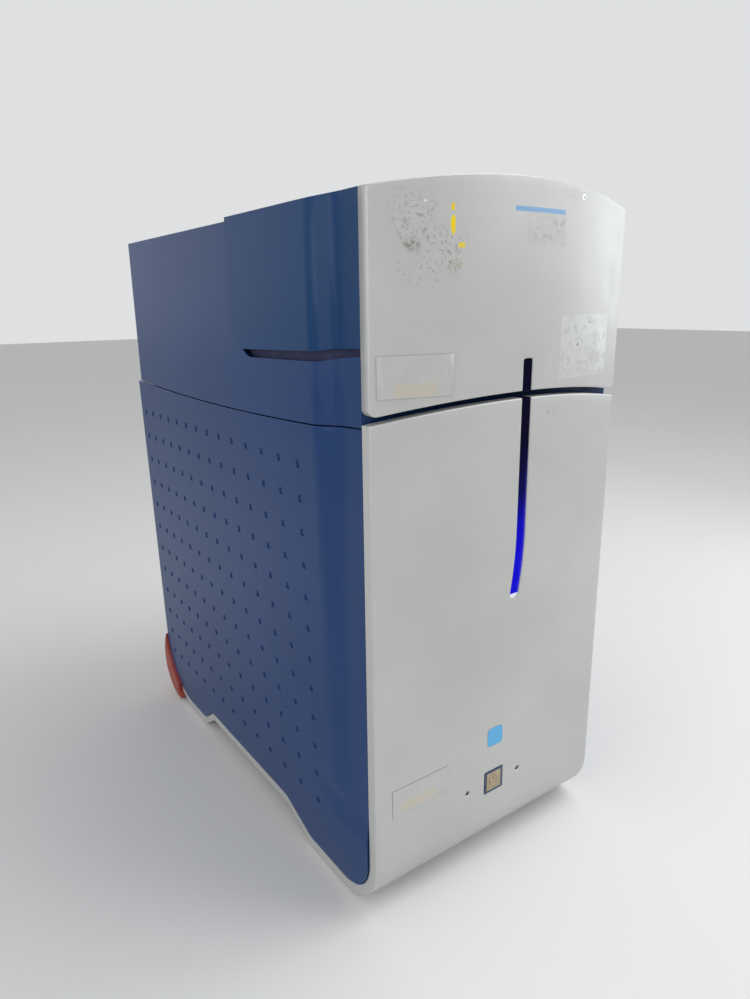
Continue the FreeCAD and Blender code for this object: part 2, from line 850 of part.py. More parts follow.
def rear_bumper():
    """Moulded bumper that bows out behind the lower rear corner."""
    gap = size("bumper_gap")
    half = size("bumper_width") / 2
    reach = size("rear_reach")
    floor = size("bumper_floor")
    top = size("bumper_top_level")
    tip = top + size("bumper_tip")
    lip = size("bumper_lip")
    radius = size("bumper_radius")
    rear = size("side_rear_back") + gap
    rim = size("rim_thickness")
    low = size("foot_clear") + rim - gap
    crescent = side_prism([
        (rear, tip, 0),
        (reach, top - size("bumper_brow"), radius),
        (reach, floor, radius),
        (reach - radius - lip, floor, 0),
        (reach - radius - 2 * lip, floor + size("bumper_lip_rise"), 0),
        (rear - radius, tip, 0),
    ], half)
    corner = side_prism([(0, low, 0), (rear, low, size("lower_rear_radius") + gap), (rear, FAR, 0),
                         (0, FAR, 0)], FAR / 2)
    skirt = side_prism([(0, low - rim, 0), (rear + rim, low - rim, size("lower_rear_radius") + rim + gap),
                        (rear + rim, FAR, 0), (0, FAR, 0)], FAR / 2)
    skirt = skirt.common(block(-FAR, FAR, 0, size("rim_end_back") + gap, -FAR, FAR))
    crescent = crescent.cut(corner).cut(skirt)
    reach_x = size("lug_width") / 2
    panel = size("chassis_rear_back") + size("rear_sheet")
    low, high = size("lug_level"), size("lug_level") + size("lug_height")
    for x in (-size("lug_side"), size("lug_side")):
        crescent = crescent.fuse(block(x - reach_x, x + reach_x, panel, rear + 1, low, high))
    return crescent


part(feature("BaseTray", base_tray()), "base_tray")
part(feature("RearBumper", rear_bumper()), "rear_bumper")

pads = []
for side in (-1, 1):
    for station in ("pad_front_back", "pad_rear_back"):
        pads.append(rod("Pad", "pad_radius", "pad_height",
                        ("%d * pad_spread" % side, FRONT + " + " + station, "0")))
part(group("RubberFeet", pads), "rubber_feet")


# Chassis

part(plate("BasePlate", "XY_Plane",
           rectangle("-chassis_width / 2", "chassis_width / 2", "chassis_front_back", "chassis_rear_back"),
           "plate_thickness", ("0", FRONT, TRAY_TOP)), "base_plate")

frame_outline = rectangle("chassis_front_back", "chassis_rear_back", "0", "deck_level - %s" % PLATE_TOP)
part(plate("LeftFrame", "YZ_Plane", frame_outline, "plate_thickness",
           ("-chassis_width / 2", FRONT, PLATE_TOP)), "left_frame")
part(plate("RightFrame", "YZ_Plane", frame_outline, "plate_thickness",
           ("chassis_width / 2 - plate_thickness", FRONT, PLATE_TOP)), "right_frame")

posts = [box("HingePost", "plate_thickness", "post_rear_back - post_front_back",
             "hinge_level - hinge_drop - beam_height - deck_level",
             (x, FRONT + " + post_front_back", "deck_level"))
         for x in ("-chassis_width / 2", "chassis_width / 2 - plate_thickness")]
part(group("HingePosts", posts), "hinge_posts")

beam = box("HingeBeamBar", "chassis_width", "post_rear_back - post_front_back", "beam_height",
           ("-chassis_width / 2", FRONT + " + post_front_back", "hinge_level - hinge_drop - beam_height"))
beam_bore = box("HingeBeamBore", "chassis_width + 2", "post_rear_back - post_front_back - 2 * beam_wall",
                "beam_height - 2 * beam_wall",
                ("-chassis_width / 2 - 1", FRONT + " + post_front_back + beam_wall",
                 "hinge_level - hinge_drop - beam_height + beam_wall"))
part(cut("HingeBeam", beam, beam_bore), "hinge_beam")


def rear_half(level):
    """Half width of the rear panel at a height, as an expression: it fits between the tapered sides."""
    return ("(side_bottom_width + (body_width - side_bottom_width) * (%s) / side_seam_level) / 2"
            " - cover_wall - rear_edge_gap" % level)


rear_low = PLATE_TOP
rear_high = "side_seam_level - seam_sag"
rear_outline = [
    ("-(%s)" % rear_half(rear_low), rear_low), (rear_half(rear_low), rear_low),
    (rear_half(rear_high), rear_high), ("-(%s)" % rear_half(rear_high), rear_high),
]
rear_windows = [
    rectangle("fan_side - fan_bore_radius", "fan_side + fan_bore_radius",
              "fan_level - fan_bore_radius", "fan_level + fan_bore_radius"),
    rectangle("-inlet_side - inlet_width / 2", "-inlet_side + inlet_width / 2",
              "inlet_level - inlet_height / 2", "inlet_level + inlet_height / 2"),
    rectangle("port_plate_side - port_plate_width / 2", "port_plate_side + port_plate_width / 2",
              "port_plate_level - port_plate_height / 2", "port_plate_level + port_plate_height / 2"),
]
part(plate("RearPanel", "XZ_Plane", rear_outline, "rear_sheet",
           ("0", FRONT + " + chassis_rear_back + rear_sheet", "0"), rear_windows), "rear_panel")


# Loading deck: a tub with a raised wall and the port for the cartridge

def loading_deck():
    inset = size("liner_inset")
    wall = size("liner_wall")
    half = size("body_width") / 2
    shoulder = size("shoulder_back")
    front = size("panel_depth") + size("body_gap")
    rear = size("hood_length") - size("wing_lap") - size("liner_rear_gap")
    low, high = size("deck_level"), size("liner_level")
    tub = cover_prism(half, shoulder, front, rear, inset, low, high)
    tub = tub.cut(cover_prism(half, shoulder, front, rear - wall, inset + wall, low + wall, high + 1))
    reach, depth = size("port_width") / 2, size("port_depth") / 2
    port = size("port_back")
    return tub.cut(block(-reach, reach, port - depth, port + depth, low - 1, low + wall + 1))


part(feature("LoadingDeck", loading_deck()), "loading_deck")


# Hinges of the hood

brackets, arms, pins = [], [], []
for side in (-1, 1):
    middle = "%d * hinge_spread" % side
    foot = centred_box("BracketFoot", "bracket_width", "post_rear_back - post_front_back", "bracket_base",
                       (middle, FRONT + " + post_front_back", "hinge_level - hinge_drop"))
    ears = []
    for edge in (-1, 1):
        centre = "%s + %d * (knuckle_length / 2 + ear_gap + ear_thickness / 2)" % (middle, edge)
        ear = centred_box("Ear", "ear_thickness", "2 * knuckle_radius", "hinge_drop - bracket_base",
                          (centre, FRONT + " + hinge_back - knuckle_radius",
                           "hinge_level - hinge_drop + bracket_base"))
        tip = rod("EarTip", "knuckle_radius", "ear_thickness",
                  ("%s - ear_thickness / 2" % centre, FRONT + " + hinge_back", "hinge_level"), "x")
        ears += [ear, tip]
    pin_start = "%s - knuckle_length / 2 - ear_gap - ear_thickness" % middle
    pin_length = "knuckle_length + 2 * ear_gap + 2 * ear_thickness"
    pin_at = (pin_start, FRONT + " + hinge_back", "hinge_level")
    brackets.append(cut("Bracket", fuse("BracketBody", [foot] + ears),
                        rod("BracketBore", "pin_radius", pin_length, pin_at, "x")))
    pins.append(rod("Pin", "pin_radius", pin_length, pin_at, "x"))
    knuckle = rod("Knuckle", "knuckle_radius", "knuckle_length",
                  ("%s - knuckle_length / 2" % middle, FRONT + " + hinge_back", "hinge_level"), "x")
    strap = centred_box("Strap", "strap_width", "hinge_back - strap_front_back", "hinge_drop",
                        (middle, FRONT + " + strap_front_back", "hinge_level - strap_drop / 2"))
    arch = rod("StrapArch", "silver_width ^ 2 / (8 * arch_rise) + arch_rise / 2 - cover_wall", "hinge_back",
               ("0", FRONT, "corner_level + arch_rise / 2 - silver_width ^ 2 / (8 * arch_rise)"), "y")
    bored = cut("ArmBored", fuse("ArmBody", [knuckle, common("StrapTop", strap, arch)]),
                rod("ArmBore", "pin_radius + running_gap", "knuckle_length + 2",
                    ("%s - knuckle_length / 2 - 1" % middle, FRONT + " + hinge_back", "hinge_level"), "x"))
    arms.append(bored)
part(group("HingeBrackets", brackets), "hinge_brackets")
part(group("HingeArms", arms), "hinge_arms")
part(group("HingePins", pins), "hinge_pins")


# Optics plate on rubber isolators, carried by shelves on the side frames

shelves, isolators = [], []
for side in (-1, 1):
    for station in ("isolator_front_back", "isolator_rear_back"):
        inner = "%d * (chassis_width / 2 - plate_thickness - shelf_size / 2)" % side
        shelves.append(centred_box("Shelf", "shelf_size", "shelf_size", "plate_thickness",
                                   (inner, FRONT + " + %s - shelf_size / 2" % station,
                                    "optics_level - isolator_height - plate_thickness")))
        isolators.append(rod("Isolator", "isolator_radius", "isolator_height",
                             ("%d * isolator_spread" % side, FRONT + " + " + station,
                              "optics_level - isolator_height")))
part(group("ShelfBrackets", shelves), "shelf_brackets")
part(group("VibrationIsolators", isolators), "vibration_isolators")

part(plate("OpticsPlate", "XY_Plane",
           rectangle("-optics_width / 2", "optics_width / 2", "optics_front_back", "optics_rear_back"),
           "optics_thickness", ("0", FRONT, "optics_level")), "optics_plate")

beam_x = "-beam_offset"
part(centred_box("LaserModule", "laser_width", "laser_length", "laser_height",
                 (beam_x, FRONT + " + laser_front_back", OPTICS_TOP)), "laser_module")

fins = [centred_box("SinkBase", "laser_width", "laser_length", "fin_thickness",
                    (beam_x, FRONT + " + laser_front_back", OPTICS_TOP + " + laser_height"))]
fin_count = int(size("laser_width") / size("fin_pitch"))
for number in range(fin_count + 1):
    fins.append(box("Fin", "fin_thickness", "laser_length", "fin_height",
                    ("%s + (%d - %d / 2) * fin_pitch - fin_thickness / 2" % (beam_x, number, fin_count),
                     FRONT + " + laser_front_back", OPTICS_TOP + " + laser_height")))
part(fuse("LaserHeatsink", fins), "laser_heatsink")

tube_at = (beam_x, FRONT + " + mirror_box_front_back + mirror_box", BEAM_LEVEL)
tube_length = "laser_front_back - mirror_box_front_back - mirror_box"
part(cut("BeamTube",
         rod("TubeBody", "beam_tube_radius", tube_length, tube_at, "y"),
         rod("TubeBore", "beam_tube_bore", tube_length, tube_at, "y")), "beam_tube")

mirror_at = (beam_x, FRONT + " + mirror_box_front_back", OPTICS_TOP)
part(cut("DichroicHousing",
         centred_box("MirrorBox", "mirror_box", "mirror_box", "laser_height", mirror_at),
         rod("MirrorBoxBore", "beam_tube_bore", "mirror_box",
             (beam_x, FRONT + " + mirror_box_front_back", BEAM_LEVEL), "y"),
         rod("MirrorSideBore", "beam_tube_bore", "mirror_box",
             (beam_x, FRONT + " + mirror_box_front_back + mirror_box / 2", BEAM_LEVEL), "x")),
     "dichroic_housing")

# Filter wheel with six filters, turned by its own small motor
wheel_x = beam_x + " + filter_circle"
filters, filter_holes = [], []
for number in range(6):
    angle = 60.0 * number
    x = "%s + filter_circle * cos(%g)" % (wheel_x, angle)
    z = "%s + filter_circle * sin(%g)" % (BEAM_LEVEL, angle)
    filter_holes.append(rod("FilterHole", "filter_radius", "wheel_thickness",
                            (x, FRONT + " + wheel_back", z), "y"))
    filters.append(rod("Filter", "filter_radius", "wheel_thickness - 2 * filter_inset",
                       (x, FRONT + " + wheel_back + filter_inset", z), "y"))
wheel_disc = fuse("WheelBody", [
    rod("WheelDisc", "wheel_radius", "wheel_thickness",
        (wheel_x, FRONT + " + wheel_back", BEAM_LEVEL), "y"),
    rod("WheelShaft", "wheel_shaft_radius", "wheel_shaft_length",
        (wheel_x, FRONT + " + wheel_back - wheel_shaft_length", BEAM_LEVEL), "y")])
part(cut("FilterWheel", wheel_disc, *filter_holes), "filter_wheel")
part(group("EmissionFilters", filters), "emission_filters")

motor_front = FRONT + " + wheel_back - wheel_motor_gap - filter_motor_length"
motor_body = fuse("FilterMotorBody", [
    rod("FilterMotorCan", "filter_motor_radius", "filter_motor_length",
        (wheel_x, motor_front, BEAM_LEVEL), "y"),
    centred_box("FilterMotorFoot", "filter_motor_radius", "filter_motor_length", "beam_height_over_plate",
                (wheel_x, motor_front, OPTICS_TOP))])
part(cut("FilterMotor", motor_body,
         rod("FilterMotorBore", "wheel_shaft_radius + running_gap",
             "wheel_shaft_length - wheel_motor_gap + 1",
             (wheel_x, FRONT + " + wheel_back - wheel_shaft_length - 1", BEAM_LEVEL), "y")), "filter_motor")

pinhole_front = FRONT + " + wheel_back - pinhole_gap - pinhole_length"
pinhole_x = beam_x + " - pinhole_width / 2 + beam_tube_bore"
part(cut("PinholeBlock",
         centred_box("PinholeBody", "pinhole_width", "pinhole_length", "laser_height",
                     (pinhole_x, pinhole_front, OPTICS_TOP)),
         rod("Pinhole", "pinhole_radius", "pinhole_length", (beam_x, pinhole_front, BEAM_LEVEL), "y")),
     "pinhole_block")

detector_x = beam_x + " - detector_shift"
detector_at = (detector_x, pinhole_front + " - detector_length", BEAM_LEVEL)
part(fuse("DetectorHousing", [
    rod("DetectorTube", "detector_radius", "detector_length", detector_at, "y"),
    centred_box("DetectorFoot", "detector_radius", "detector_length", "beam_height_over_plate",
                (detector_x, pinhole_front + " - detector_length", OPTICS_TOP))]), "detector_housing")


# Scan motor with the swinging arm that carries the objective

arm_y = FRONT + " + arm_back"
arm_level = OPTICS_TOP + " + scan_motor_height + arm_gap"
part(cut("ScanMotor",
         rod("ScanMotorCan", "scan_motor_radius", "scan_motor_height", ("0", arm_y, OPTICS_TOP)),
         rod("ScanMotorBore", "arm_shaft_radius + running_gap", "scan_motor_height - motor_floor",
             ("0", arm_y, OPTICS_TOP + " + motor_floor"))), "scan_motor")

arm_front = arm_y + " - arm_reach"
arm_bar = centred_box("ArmBar", "arm_width", "arm_reach", "arm_thickness", ("0", arm_front, arm_level))
arm_shaft = rod("ArmShaft", "arm_shaft_radius",
                "arm_gap + scan_motor_height - motor_floor - shaft_end_gap + arm_thickness",
                ("0", arm_y, OPTICS_TOP + " + motor_floor + shaft_end_gap"))
arm_root = rod("ArmRoot", "arm_width / 2", "arm_thickness", ("0", arm_y, arm_level))
arm_head = rod("ArmHead", "lens_radius + lens_ring", "arm_thickness", ("0", arm_front, arm_level))
arm_hole = rod("ArmHole", "lens_radius", "arm_thickness", ("0", arm_front, arm_level))
part(cut("ObjectiveArm", fuse("ArmParts", [arm_bar, arm_shaft, arm_root, arm_head]), arm_hole),
     "objective_arm")
part(rod("ObjectiveLens", "lens_radius", "lens_height",
         ("0", arm_front, arm_level + " - (lens_height - arm_thickness) / 2")), "objective_lens")


# Cartridge stage: two towers, two guide rods, lead screw, stepper motor and carriage

rod_length = "tower_rear_back - tower_front_back + tower_thickness"
towers, rails = [], []
for station in ("tower_front_back", "tower_rear_back"):
    tower_y = FRONT + " + " + station
    tower = centred_box("Tower", "tower_width", "tower_thickness", "rail_level + tower_cap - " + OPTICS_TOP,
                        ("0", tower_y, OPTICS_TOP))
    bores = [rod("RailBore", "rail_radius", "tower_thickness",
                 ("%d * rail_spread" % side, tower_y, "rail_level"), "y") for side in (-1, 1)]
    bores.append(rod("ScrewBore", "screw_radius + running_gap", "tower_thickness",
                     ("0", tower_y, "rail_level"), "y"))
    window = centred_box("TowerWindow", "tower_width - 2 * tower_cap", "tower_thickness", "2 * tower_cap",
                         ("0", tower_y, OPTICS_TOP + " + 2 * tower_cap"))
    towers.append(cut("TowerBored", tower, window, *bores))
for side in (-1, 1):
    rails.append(rod("Rail", "rail_radius", rod_length,
                     ("%d * rail_spread" % side, FRONT + " + tower_front_back", "rail_level"), "y"))
part(group("RailTowers", towers), "rail_towers")
part(group("GuideRods", rails), "guide_rods")
part(rod("LeadScrew", "screw_radius", rod_length + " - 2 * screw_end_gap",
         ("0", FRONT + " + tower_front_back + screw_end_gap", "rail_level"), "y"), "lead_screw")
part(centred_box("StepperMotor", "stepper_size", "stepper_length", "stepper_size",
                 ("0", FRONT + " + tower_rear_back + tower_thickness", "rail_level - stepper_size / 2")),
     "stepper_motor")

carriage_front = FRONT + " + port_back - carriage_length / 2"
carriage_tools = [
    centred_box("CartridgeSlot", "cartridge_slot_width", "cartridge_slot_length",
                "cartridge_slot_depth + 1",
                ("0", FRONT + " + port_back - cartridge_slot_length / 2",
                 "carriage_top_level - cartridge_slot_depth")),
    rod("CarriageScrewBore", "screw_radius + running_gap", "carriage_length",
        ("0", carriage_front, "rail_level"), "y"),
]
for side in (-1, 1):
    carriage_tools.append(rod("CarriageRailBore", "rail_radius + running_gap", "carriage_length",
                              ("%d * rail_spread" % side, carriage_front, "rail_level"), "y"))
part(cut("CartridgeCarriage",
         centred_box("CarriageBlock", "carriage_width", "carriage_length",
                     "carriage_top_level - carriage_foot_level",
                     ("0", carriage_front, "carriage_foot_level")),
         *carriage_tools), "cartridge_carriage")


# Electronics on the base plate

part(box("PowerSupply", "supply_width", "supply_length", "supply_height",
         ("-supply_left", FRONT + " + chassis_rear_back - supply_length - supply_rear_gap", PLATE_TOP)),
     "power_supply")

board_level = PLATE_TOP + " + standoff_height"
part(box("MainBoard", "board_width", "board_length", "board_thickness",
         ("0", FRONT + " + board_front_back", board_level)), "main_board")
standoffs = []
for across in ("standoff_inset", "board_width - standoff_inset"):
    for along in ("standoff_inset", "board_length / 2", "board_length - standoff_inset"):
        standoffs.append(rod("Standoff", "standoff_radius", "standoff_height",
                             (across, FRONT + " + board_front_back + " + along, PLATE_TOP)))
part(group("BoardStandoffs", standoffs), "board_standoffs")
chip_level = board_level + " + board_thickness"
chips = []
for number, across in enumerate(("chip_inset", "board_width - chip_size - chip_inset")):
    for place in range(3):
        chips.append(box("Chip", "chip_size", "chip_size", "chip_height",
                         (across, FRONT + " + board_front_back + chip_front + %d * chip_pitch" % place,
                          chip_level)))
    chips.append(box("Header", "header_width", "header_length", "header_height",
                     ("header_side + %d * header_pitch" % number,
                      FRONT + " + board_front_back + header_front", chip_level)))
part(group("BoardComponents", chips), "board_components")


# Rear panel fittings

panel_front = FRONT + " + chassis_rear_back"
panel_rear = FRONT + " + chassis_rear_back + rear_sheet"
fan_block = centred_box("FanBlock", "fan_size", "fan_depth", "fan_size",
                        ("fan_side", panel_front + " - fan_depth", "fan_level - fan_size / 2"))
fan_bore = rod("FanBore", "fan_bore_radius", "fan_depth",
               ("fan_side", panel_front + " - fan_depth", "fan_level"), "y")
fan_axle = rod("FanAxle", "fan_axle_radius", "fan_depth - fan_strut - fan_hub_end - 2 * fan_rotor_gap",
               ("fan_side", panel_front + " - fan_depth", "fan_level"), "y")
fan_plate = rod("FanMotorPlate", "fan_hub_radius", "fan_strut",
                ("fan_side", panel_front + " - fan_depth", "fan_level"), "y")
fan_struts = [
    centred_box("FanStrut", "2 * fan_strut", "fan_strut", "2 * fan_bore_radius + 1",
                ("fan_side", panel_front + " - fan_depth", "fan_level - fan_bore_radius - 1 / 2")),
    centred_box("FanStrutAcross", "2 * fan_bore_radius + 1", "fan_strut", "2 * fan_strut",
                ("fan_side", panel_front + " - fan_depth", "fan_level - fan_strut")),
]
part(fuse("FanFrame", [cut("FanShroud", fan_block, fan_bore), fan_axle, fan_plate] + fan_struts),
     "fan_frame")


def fan_rotor():
    """Hub bored for the axle with seven twisted blades."""
    strut_clear = size("fan_strut") + size("fan_rotor_gap")
    hub_radius = size("fan_hub_radius")
    start = Vector(size("fan_side"), FRONT_Y + size("chassis_rear_back") - size("fan_depth") + strut_clear,
                   size("fan_level"))
    depth = size("fan_depth") - 2 * strut_clear
    rotor = Part.makeCylinder(hub_radius, depth, start, Vector(0, 1, 0))
    root = hub_radius - size("blade_root")
    thickness = size("blade_thickness")
    for number in range(7):
        blade = Part.makeBox(size("fan_blade_radius") - root, thickness, depth - 2,
                             Vector(root, -thickness / 2, 1 - depth / 2))
        blade.rotate(Vector(), Vector(1, 0, 0), size("blade_angle"))
        blade.rotate(Vector(), Vector(0, 0, 1), 360.0 * number / 7)
        blade.rotate(Vector(), Vector(1, 0, 0), -90)
        blade.translate(start + Vector(0, depth / 2, 0))
        rotor = rotor.fuse(blade)
    bore_radius = size("fan_axle_radius") + size("running_gap")
    bore_length = depth - size("fan_hub_end")
    return rotor.cut(Part.makeCylinder(bore_radius, bore_length, start, Vector(0, 1, 0)))


part(feature("FanRotor", fan_rotor()), "fan_rotor")


def fan_guard():
    """Wire guard: four rings joined by two crossed bars, held on the outside of the panel."""
    wire = size("guard_wire")
    centre = Vector(size("fan_side"), FRONT_Y + size("chassis_rear_back") + size("rear_sheet") + wire,
                    size("fan_level"))
    guard = None
    for number in range(4):
        ring = Part.makeTorus(size("guard_ring_radius") + size("guard_ring_pitch") * number, wire, centre,
                              Vector(0, 1, 0))
        guard = ring if guard is None else guard.fuse(ring)
    reach = size("fan_size") / 2 + size("guard_overhang")
    for angle in (45, 135):
        bar = Part.makeBox(2 * reach, 1.5 * wire, 2 * wire, Vector(-reach, -wire, -wire))
        bar.rotate(Vector(), Vector(0, 1, 0), angle)
        bar.translate(centre)
        guard = guard.fuse(bar)
    return guard


part(feature("FanGuard", fan_guard()), "fan_guard")

socket_body = fuse("SocketBody", [
    centred_box("SocketBox", "inlet_width", "inlet_depth", "inlet_height",
                ("-inlet_side", panel_rear + " - inlet_depth", "inlet_level - inlet_height / 2")),
    centred_box("SocketFlange", "inlet_width + 2 * inlet_flange", "flange_thickness",
                "inlet_height + 2 * inlet_flange",
                ("-inlet_side", panel_rear, "inlet_level - inlet_height / 2 - inlet_flange"))])
well_front = panel_rear + " - inlet_well_depth"
socket_well = centred_box("SocketWell", "inlet_well_width", "inlet_well_depth + flange_thickness + 1",
                          "inlet_well_height",
                          ("-inlet_side", well_front, "inlet_level - inlet_well_height / 2"))
contacts = [centred_box("Contact", "contact_width", "contact_length", "contact_height",
                        ("-inlet_side + %d * contact_pitch" % place, well_front,
                         "inlet_level - contact_height / 2"))
            for place in (-1, 0, 1)]
part(fuse("InletSocket", [cut("SocketShell", socket_body, socket_well)] + contacts), "inlet_socket")

connector_plate = centred_box("ConnectorPlate", "port_plate_width", "port_plate_depth", "port_plate_height",
                              ("port_plate_side", panel_rear + " - port_plate_depth + port_plate_proud",
                               "port_plate_level - port_plate_height / 2"))
connector_wells = [
    centred_box("ConnectorWell", "data_well_width", "data_well_depth + 2", "data_well_height",
                ("port_plate_side + %d * data_well_pitch" % place,
                 panel_rear + " - data_well_depth", "port_plate_level - data_well_height / 2"))
    for place in (-1, 0, 1)]
part(cut("DataConnectors", connector_plate, *connector_wells), "data_connectors")

heads = []
for side in (-1, 1):
    for level in (PLATE_TOP + " + panel_screw_inset", "optics_level",
                  "side_seam_level - seam_sag - panel_screw_inset"):
        heads.append(rod("ScrewHead", "screw_head_radius", "screw_head_height",
                         ("%d * panel_screw_side" % side, panel_rear, level), "y"))
part(group("PanelScrews", heads), "panel_screws")


# Front details: light guide, power button, indicator windows, blank labels and badge

def bowed_bar(front_depth, rear_depth, half, low, high):
    """Bar of that half width between two depths behind the bowed silver face."""
    steps = 14
    levels = [low + (high - low) * n / (steps - 1) for n in range(steps)]
    front = [(front_depth - bulge(level), level, 0) for level in levels]
    rear = [(rear_depth - bulge(level), level, 0) for level in reversed(levels)]
    return side_prism(front + rear, half)


def light_guide(low, high):
    """Clear bar behind the slit with a rib that fills the slit to just below the face."""
    back = size("panel_skin") + size("guide_gap")
    bar = bowed_bar(back, back + size("guide_depth"), size("guide_width") / 2, low, high)
    half, gap = size("slit_width") / 2, size("guide_side_gap")
    rib = bowed_bar(size("guide_inset"), back + 1, half, low, high)
    return bar.fuse(rib.common(slit_tool(half - gap, gap)))


guide_low = size("slit_foot_level") - size("guide_lap")
guide_high = size("lower_panel_level") + size("seam_rise") - size("panel_skin") - size("guide_end_gap")
part(feature("LightGuide", light_guide(guide_low, guide_high)), "light_guide")
board_front = size("panel_skin") + size("guide_gap") + size("guide_depth")
part(feature("LedBoard", bowed_bar(board_front, board_front + size("board_thickness"),
                                   size("led_board_width") / 2, guide_low, guide_high)), "led_board")
part(feature("HoodLightGuide", light_guide(
    size("upper_panel_level") + size("seam_rise") + size("panel_skin") + size("guide_end_gap"),
    size("slit_top_level") + size("guide_lap"))), "hood_light_guide")

button_at = ("0", FRONT + " - button_proud", "button_level - button_size / 2")
part(centred_box("PowerButton", "button_size", "button_length", "button_size", button_at), "power_button")
bezel_body = centred_box("BezelBody", "bezel_size", "bezel_proud + bezel_depth", "bezel_size",
                         ("0", FRONT + " - bezel_proud", "button_level - bezel_size / 2"))
bezel_hole = centred_box("BezelHole", "button_size + 2 * bezel_gap", "bezel_proud + bezel_depth",
                         "button_size + 2 * bezel_gap",
                         ("0", FRONT + " - bezel_proud", "button_level - button_size / 2 - bezel_gap"))
part(cut("ButtonBezel", bezel_body, bezel_hole), "button_bezel")
switch_front = FRONT + " - button_proud + button_length + button_travel + switch_gap"
sleeve_length = "button_length + button_travel + switch_gap - button_proud - bezel_depth"
switch_wall = centred_box("SwitchWall", "switch_size", "switch_depth", "switch_size",
                          ("0", switch_front, "button_level - switch_size / 2"))
switch_sleeve = centred_box("SwitchSleeve", "switch_size", sleeve_length, "switch_size",
                            ("0", FRONT + " + bezel_depth", "button_level - switch_size / 2"))
switch_hole = centred_box("SwitchHole", "button_size + 2 * bezel_gap", sleeve_length,
                          "button_size + 2 * bezel_gap",
                          ("0", FRONT + " + bezel_depth", "button_level - button_size / 2 - bezel_gap"))
part(fuse("SwitchBody", [switch_wall, cut("SwitchTube", switch_sleeve, switch_hole)]), "switch_body")

windows = [rod("Window", "window_radius", "window_depth",
               ("%d * window_spread" % side, FRONT + " + window_inset", "window_level"), "y")
           for side in (-1, 1)]
part(group("IndicatorWindows", windows), "indicator_windows")


def sticker(width, height, x, level, corner):
    """Thin plate laid on the silver front face."""
    front = bulged_solid(0, size("panel_depth"), size("bend_radius") + size("foot_clear"), crown())
    front.translate(Vector(0, -size("label_seat"), 0))
    raised = front.copy()
    raised.translate(Vector(0, -size("label_thickness"), 0))
    patch = block(x - width / 2, x + width / 2, -size("front_bulge") - 5, 5,
                  level - height / 2, level + height / 2)
    patch = patch.makeFillet(corner, [edge for edge in patch.Edges if edge.BoundBox.YLength > 1])
    return raised.common(patch).cut(front)


part(feature("UpperLabel", sticker(size("upper_label_width"), size("upper_label_height"),
                                   -size("upper_label_side"), size("upper_label_level"),
                                   size("label_corner"))), "upper_label")
part(feature("LowerLabel", sticker(size("lower_label_width"), size("lower_label_height"),
                                   -size("lower_label_side"), size("lower_label_level"),
                                   size("label_corner"))), "lower_label")
part(feature("Badge", sticker(size("badge_size"), size("badge_size"), 0, size("badge_level"),
                              size("badge_corner"))), "badge")


# Recompute, check every object and write the sub-parts

doc.recompute()
faults = []
for item in doc.Objects:
    if "Invalid" in item.State or "Error" in item.State:
        faults.append("%s is %s" % (item.Label, item.State))
for item, label in parts:
    shape = item.Shape
    if shape.isNull() or not shape.isValid() or not shape.Solids:
        faults.append("%s has no valid solid" % label)
if faults:
    print("\n".join(faults))
    sys.exit(1)

os.makedirs("parts", exist_ok=True)
for item, label in parts:
    item.Shape.exportStep(os.path.join("parts", label + ".step"))
    extent = item.Shape.BoundBox
    print("%-22s solids %2d  X %7.1f %7.1f  Y %7.1f %7.1f  Z %7.1f %7.1f" % (
        label, len(item.Shape.Solids), extent.XMin, extent.XMax, extent.YMin, extent.YMax,
        extent.ZMin, extent.ZMax))
print(len(parts), "sub-parts")
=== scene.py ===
import math
import random

import bmesh
import bpy
from mathutils import Matrix, Vector


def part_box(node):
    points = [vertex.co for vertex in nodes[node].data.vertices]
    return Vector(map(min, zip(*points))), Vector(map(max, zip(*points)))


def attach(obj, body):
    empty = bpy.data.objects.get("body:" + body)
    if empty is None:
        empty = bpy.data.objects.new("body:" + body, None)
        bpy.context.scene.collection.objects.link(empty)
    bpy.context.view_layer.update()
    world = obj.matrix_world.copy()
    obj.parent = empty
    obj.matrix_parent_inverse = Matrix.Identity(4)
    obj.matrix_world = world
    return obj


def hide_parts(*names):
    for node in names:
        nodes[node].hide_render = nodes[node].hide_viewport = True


# Microarray scanner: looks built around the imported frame. Metres, +Z up, front towards -Y.

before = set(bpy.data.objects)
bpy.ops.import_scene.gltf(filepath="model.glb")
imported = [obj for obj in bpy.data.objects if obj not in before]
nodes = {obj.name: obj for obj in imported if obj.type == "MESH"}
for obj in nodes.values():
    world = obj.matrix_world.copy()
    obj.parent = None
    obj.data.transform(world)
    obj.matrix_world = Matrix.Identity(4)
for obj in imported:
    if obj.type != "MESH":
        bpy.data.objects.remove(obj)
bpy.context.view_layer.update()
random.seed(7)

MM = 0.001

# Driving dimensions, the same as in the part's source, in metres
PANEL_LOW, PANEL_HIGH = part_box("lower_front_panel")
UPPER_LOW, UPPER_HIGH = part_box("upper_front_panel")
HALF = PANEL_HIGH.x
BEND = 54.0 * MM
FRONT = PANEL_HIGH.y - BEND
FOOT = PANEL_LOW.z
CROWN = UPPER_HIGH.z
ARCH_RISE = 14.0 * MM
SEAM_RISE = 12.5 * MM
BULGE = 23.4 * MM
BULGE_TOP = 365.0 * MM
BULGE_FOOT = 160.0 * MM
PANEL_DEPTH = 10.5 * MM
SHEET = 2.0 * MM
SLIT_HALF = 5.5 * MM
SLIT_FOOT = 298.0 * MM
SLIT_TOP = 517.7 * MM
SLIT_CORNER = 2.0 * MM
SLIT_CAP = 0.15 * MM
SLIT_WALL = 2.5 * MM
LOWER_SEAM = 472.3 * MM
UPPER_SEAM = 478.1 * MM
CORNER_RADIUS = 7.0 * MM
EDGE_ROLL = 1.3 * MM
SLIT_ROLL = 1.1 * MM

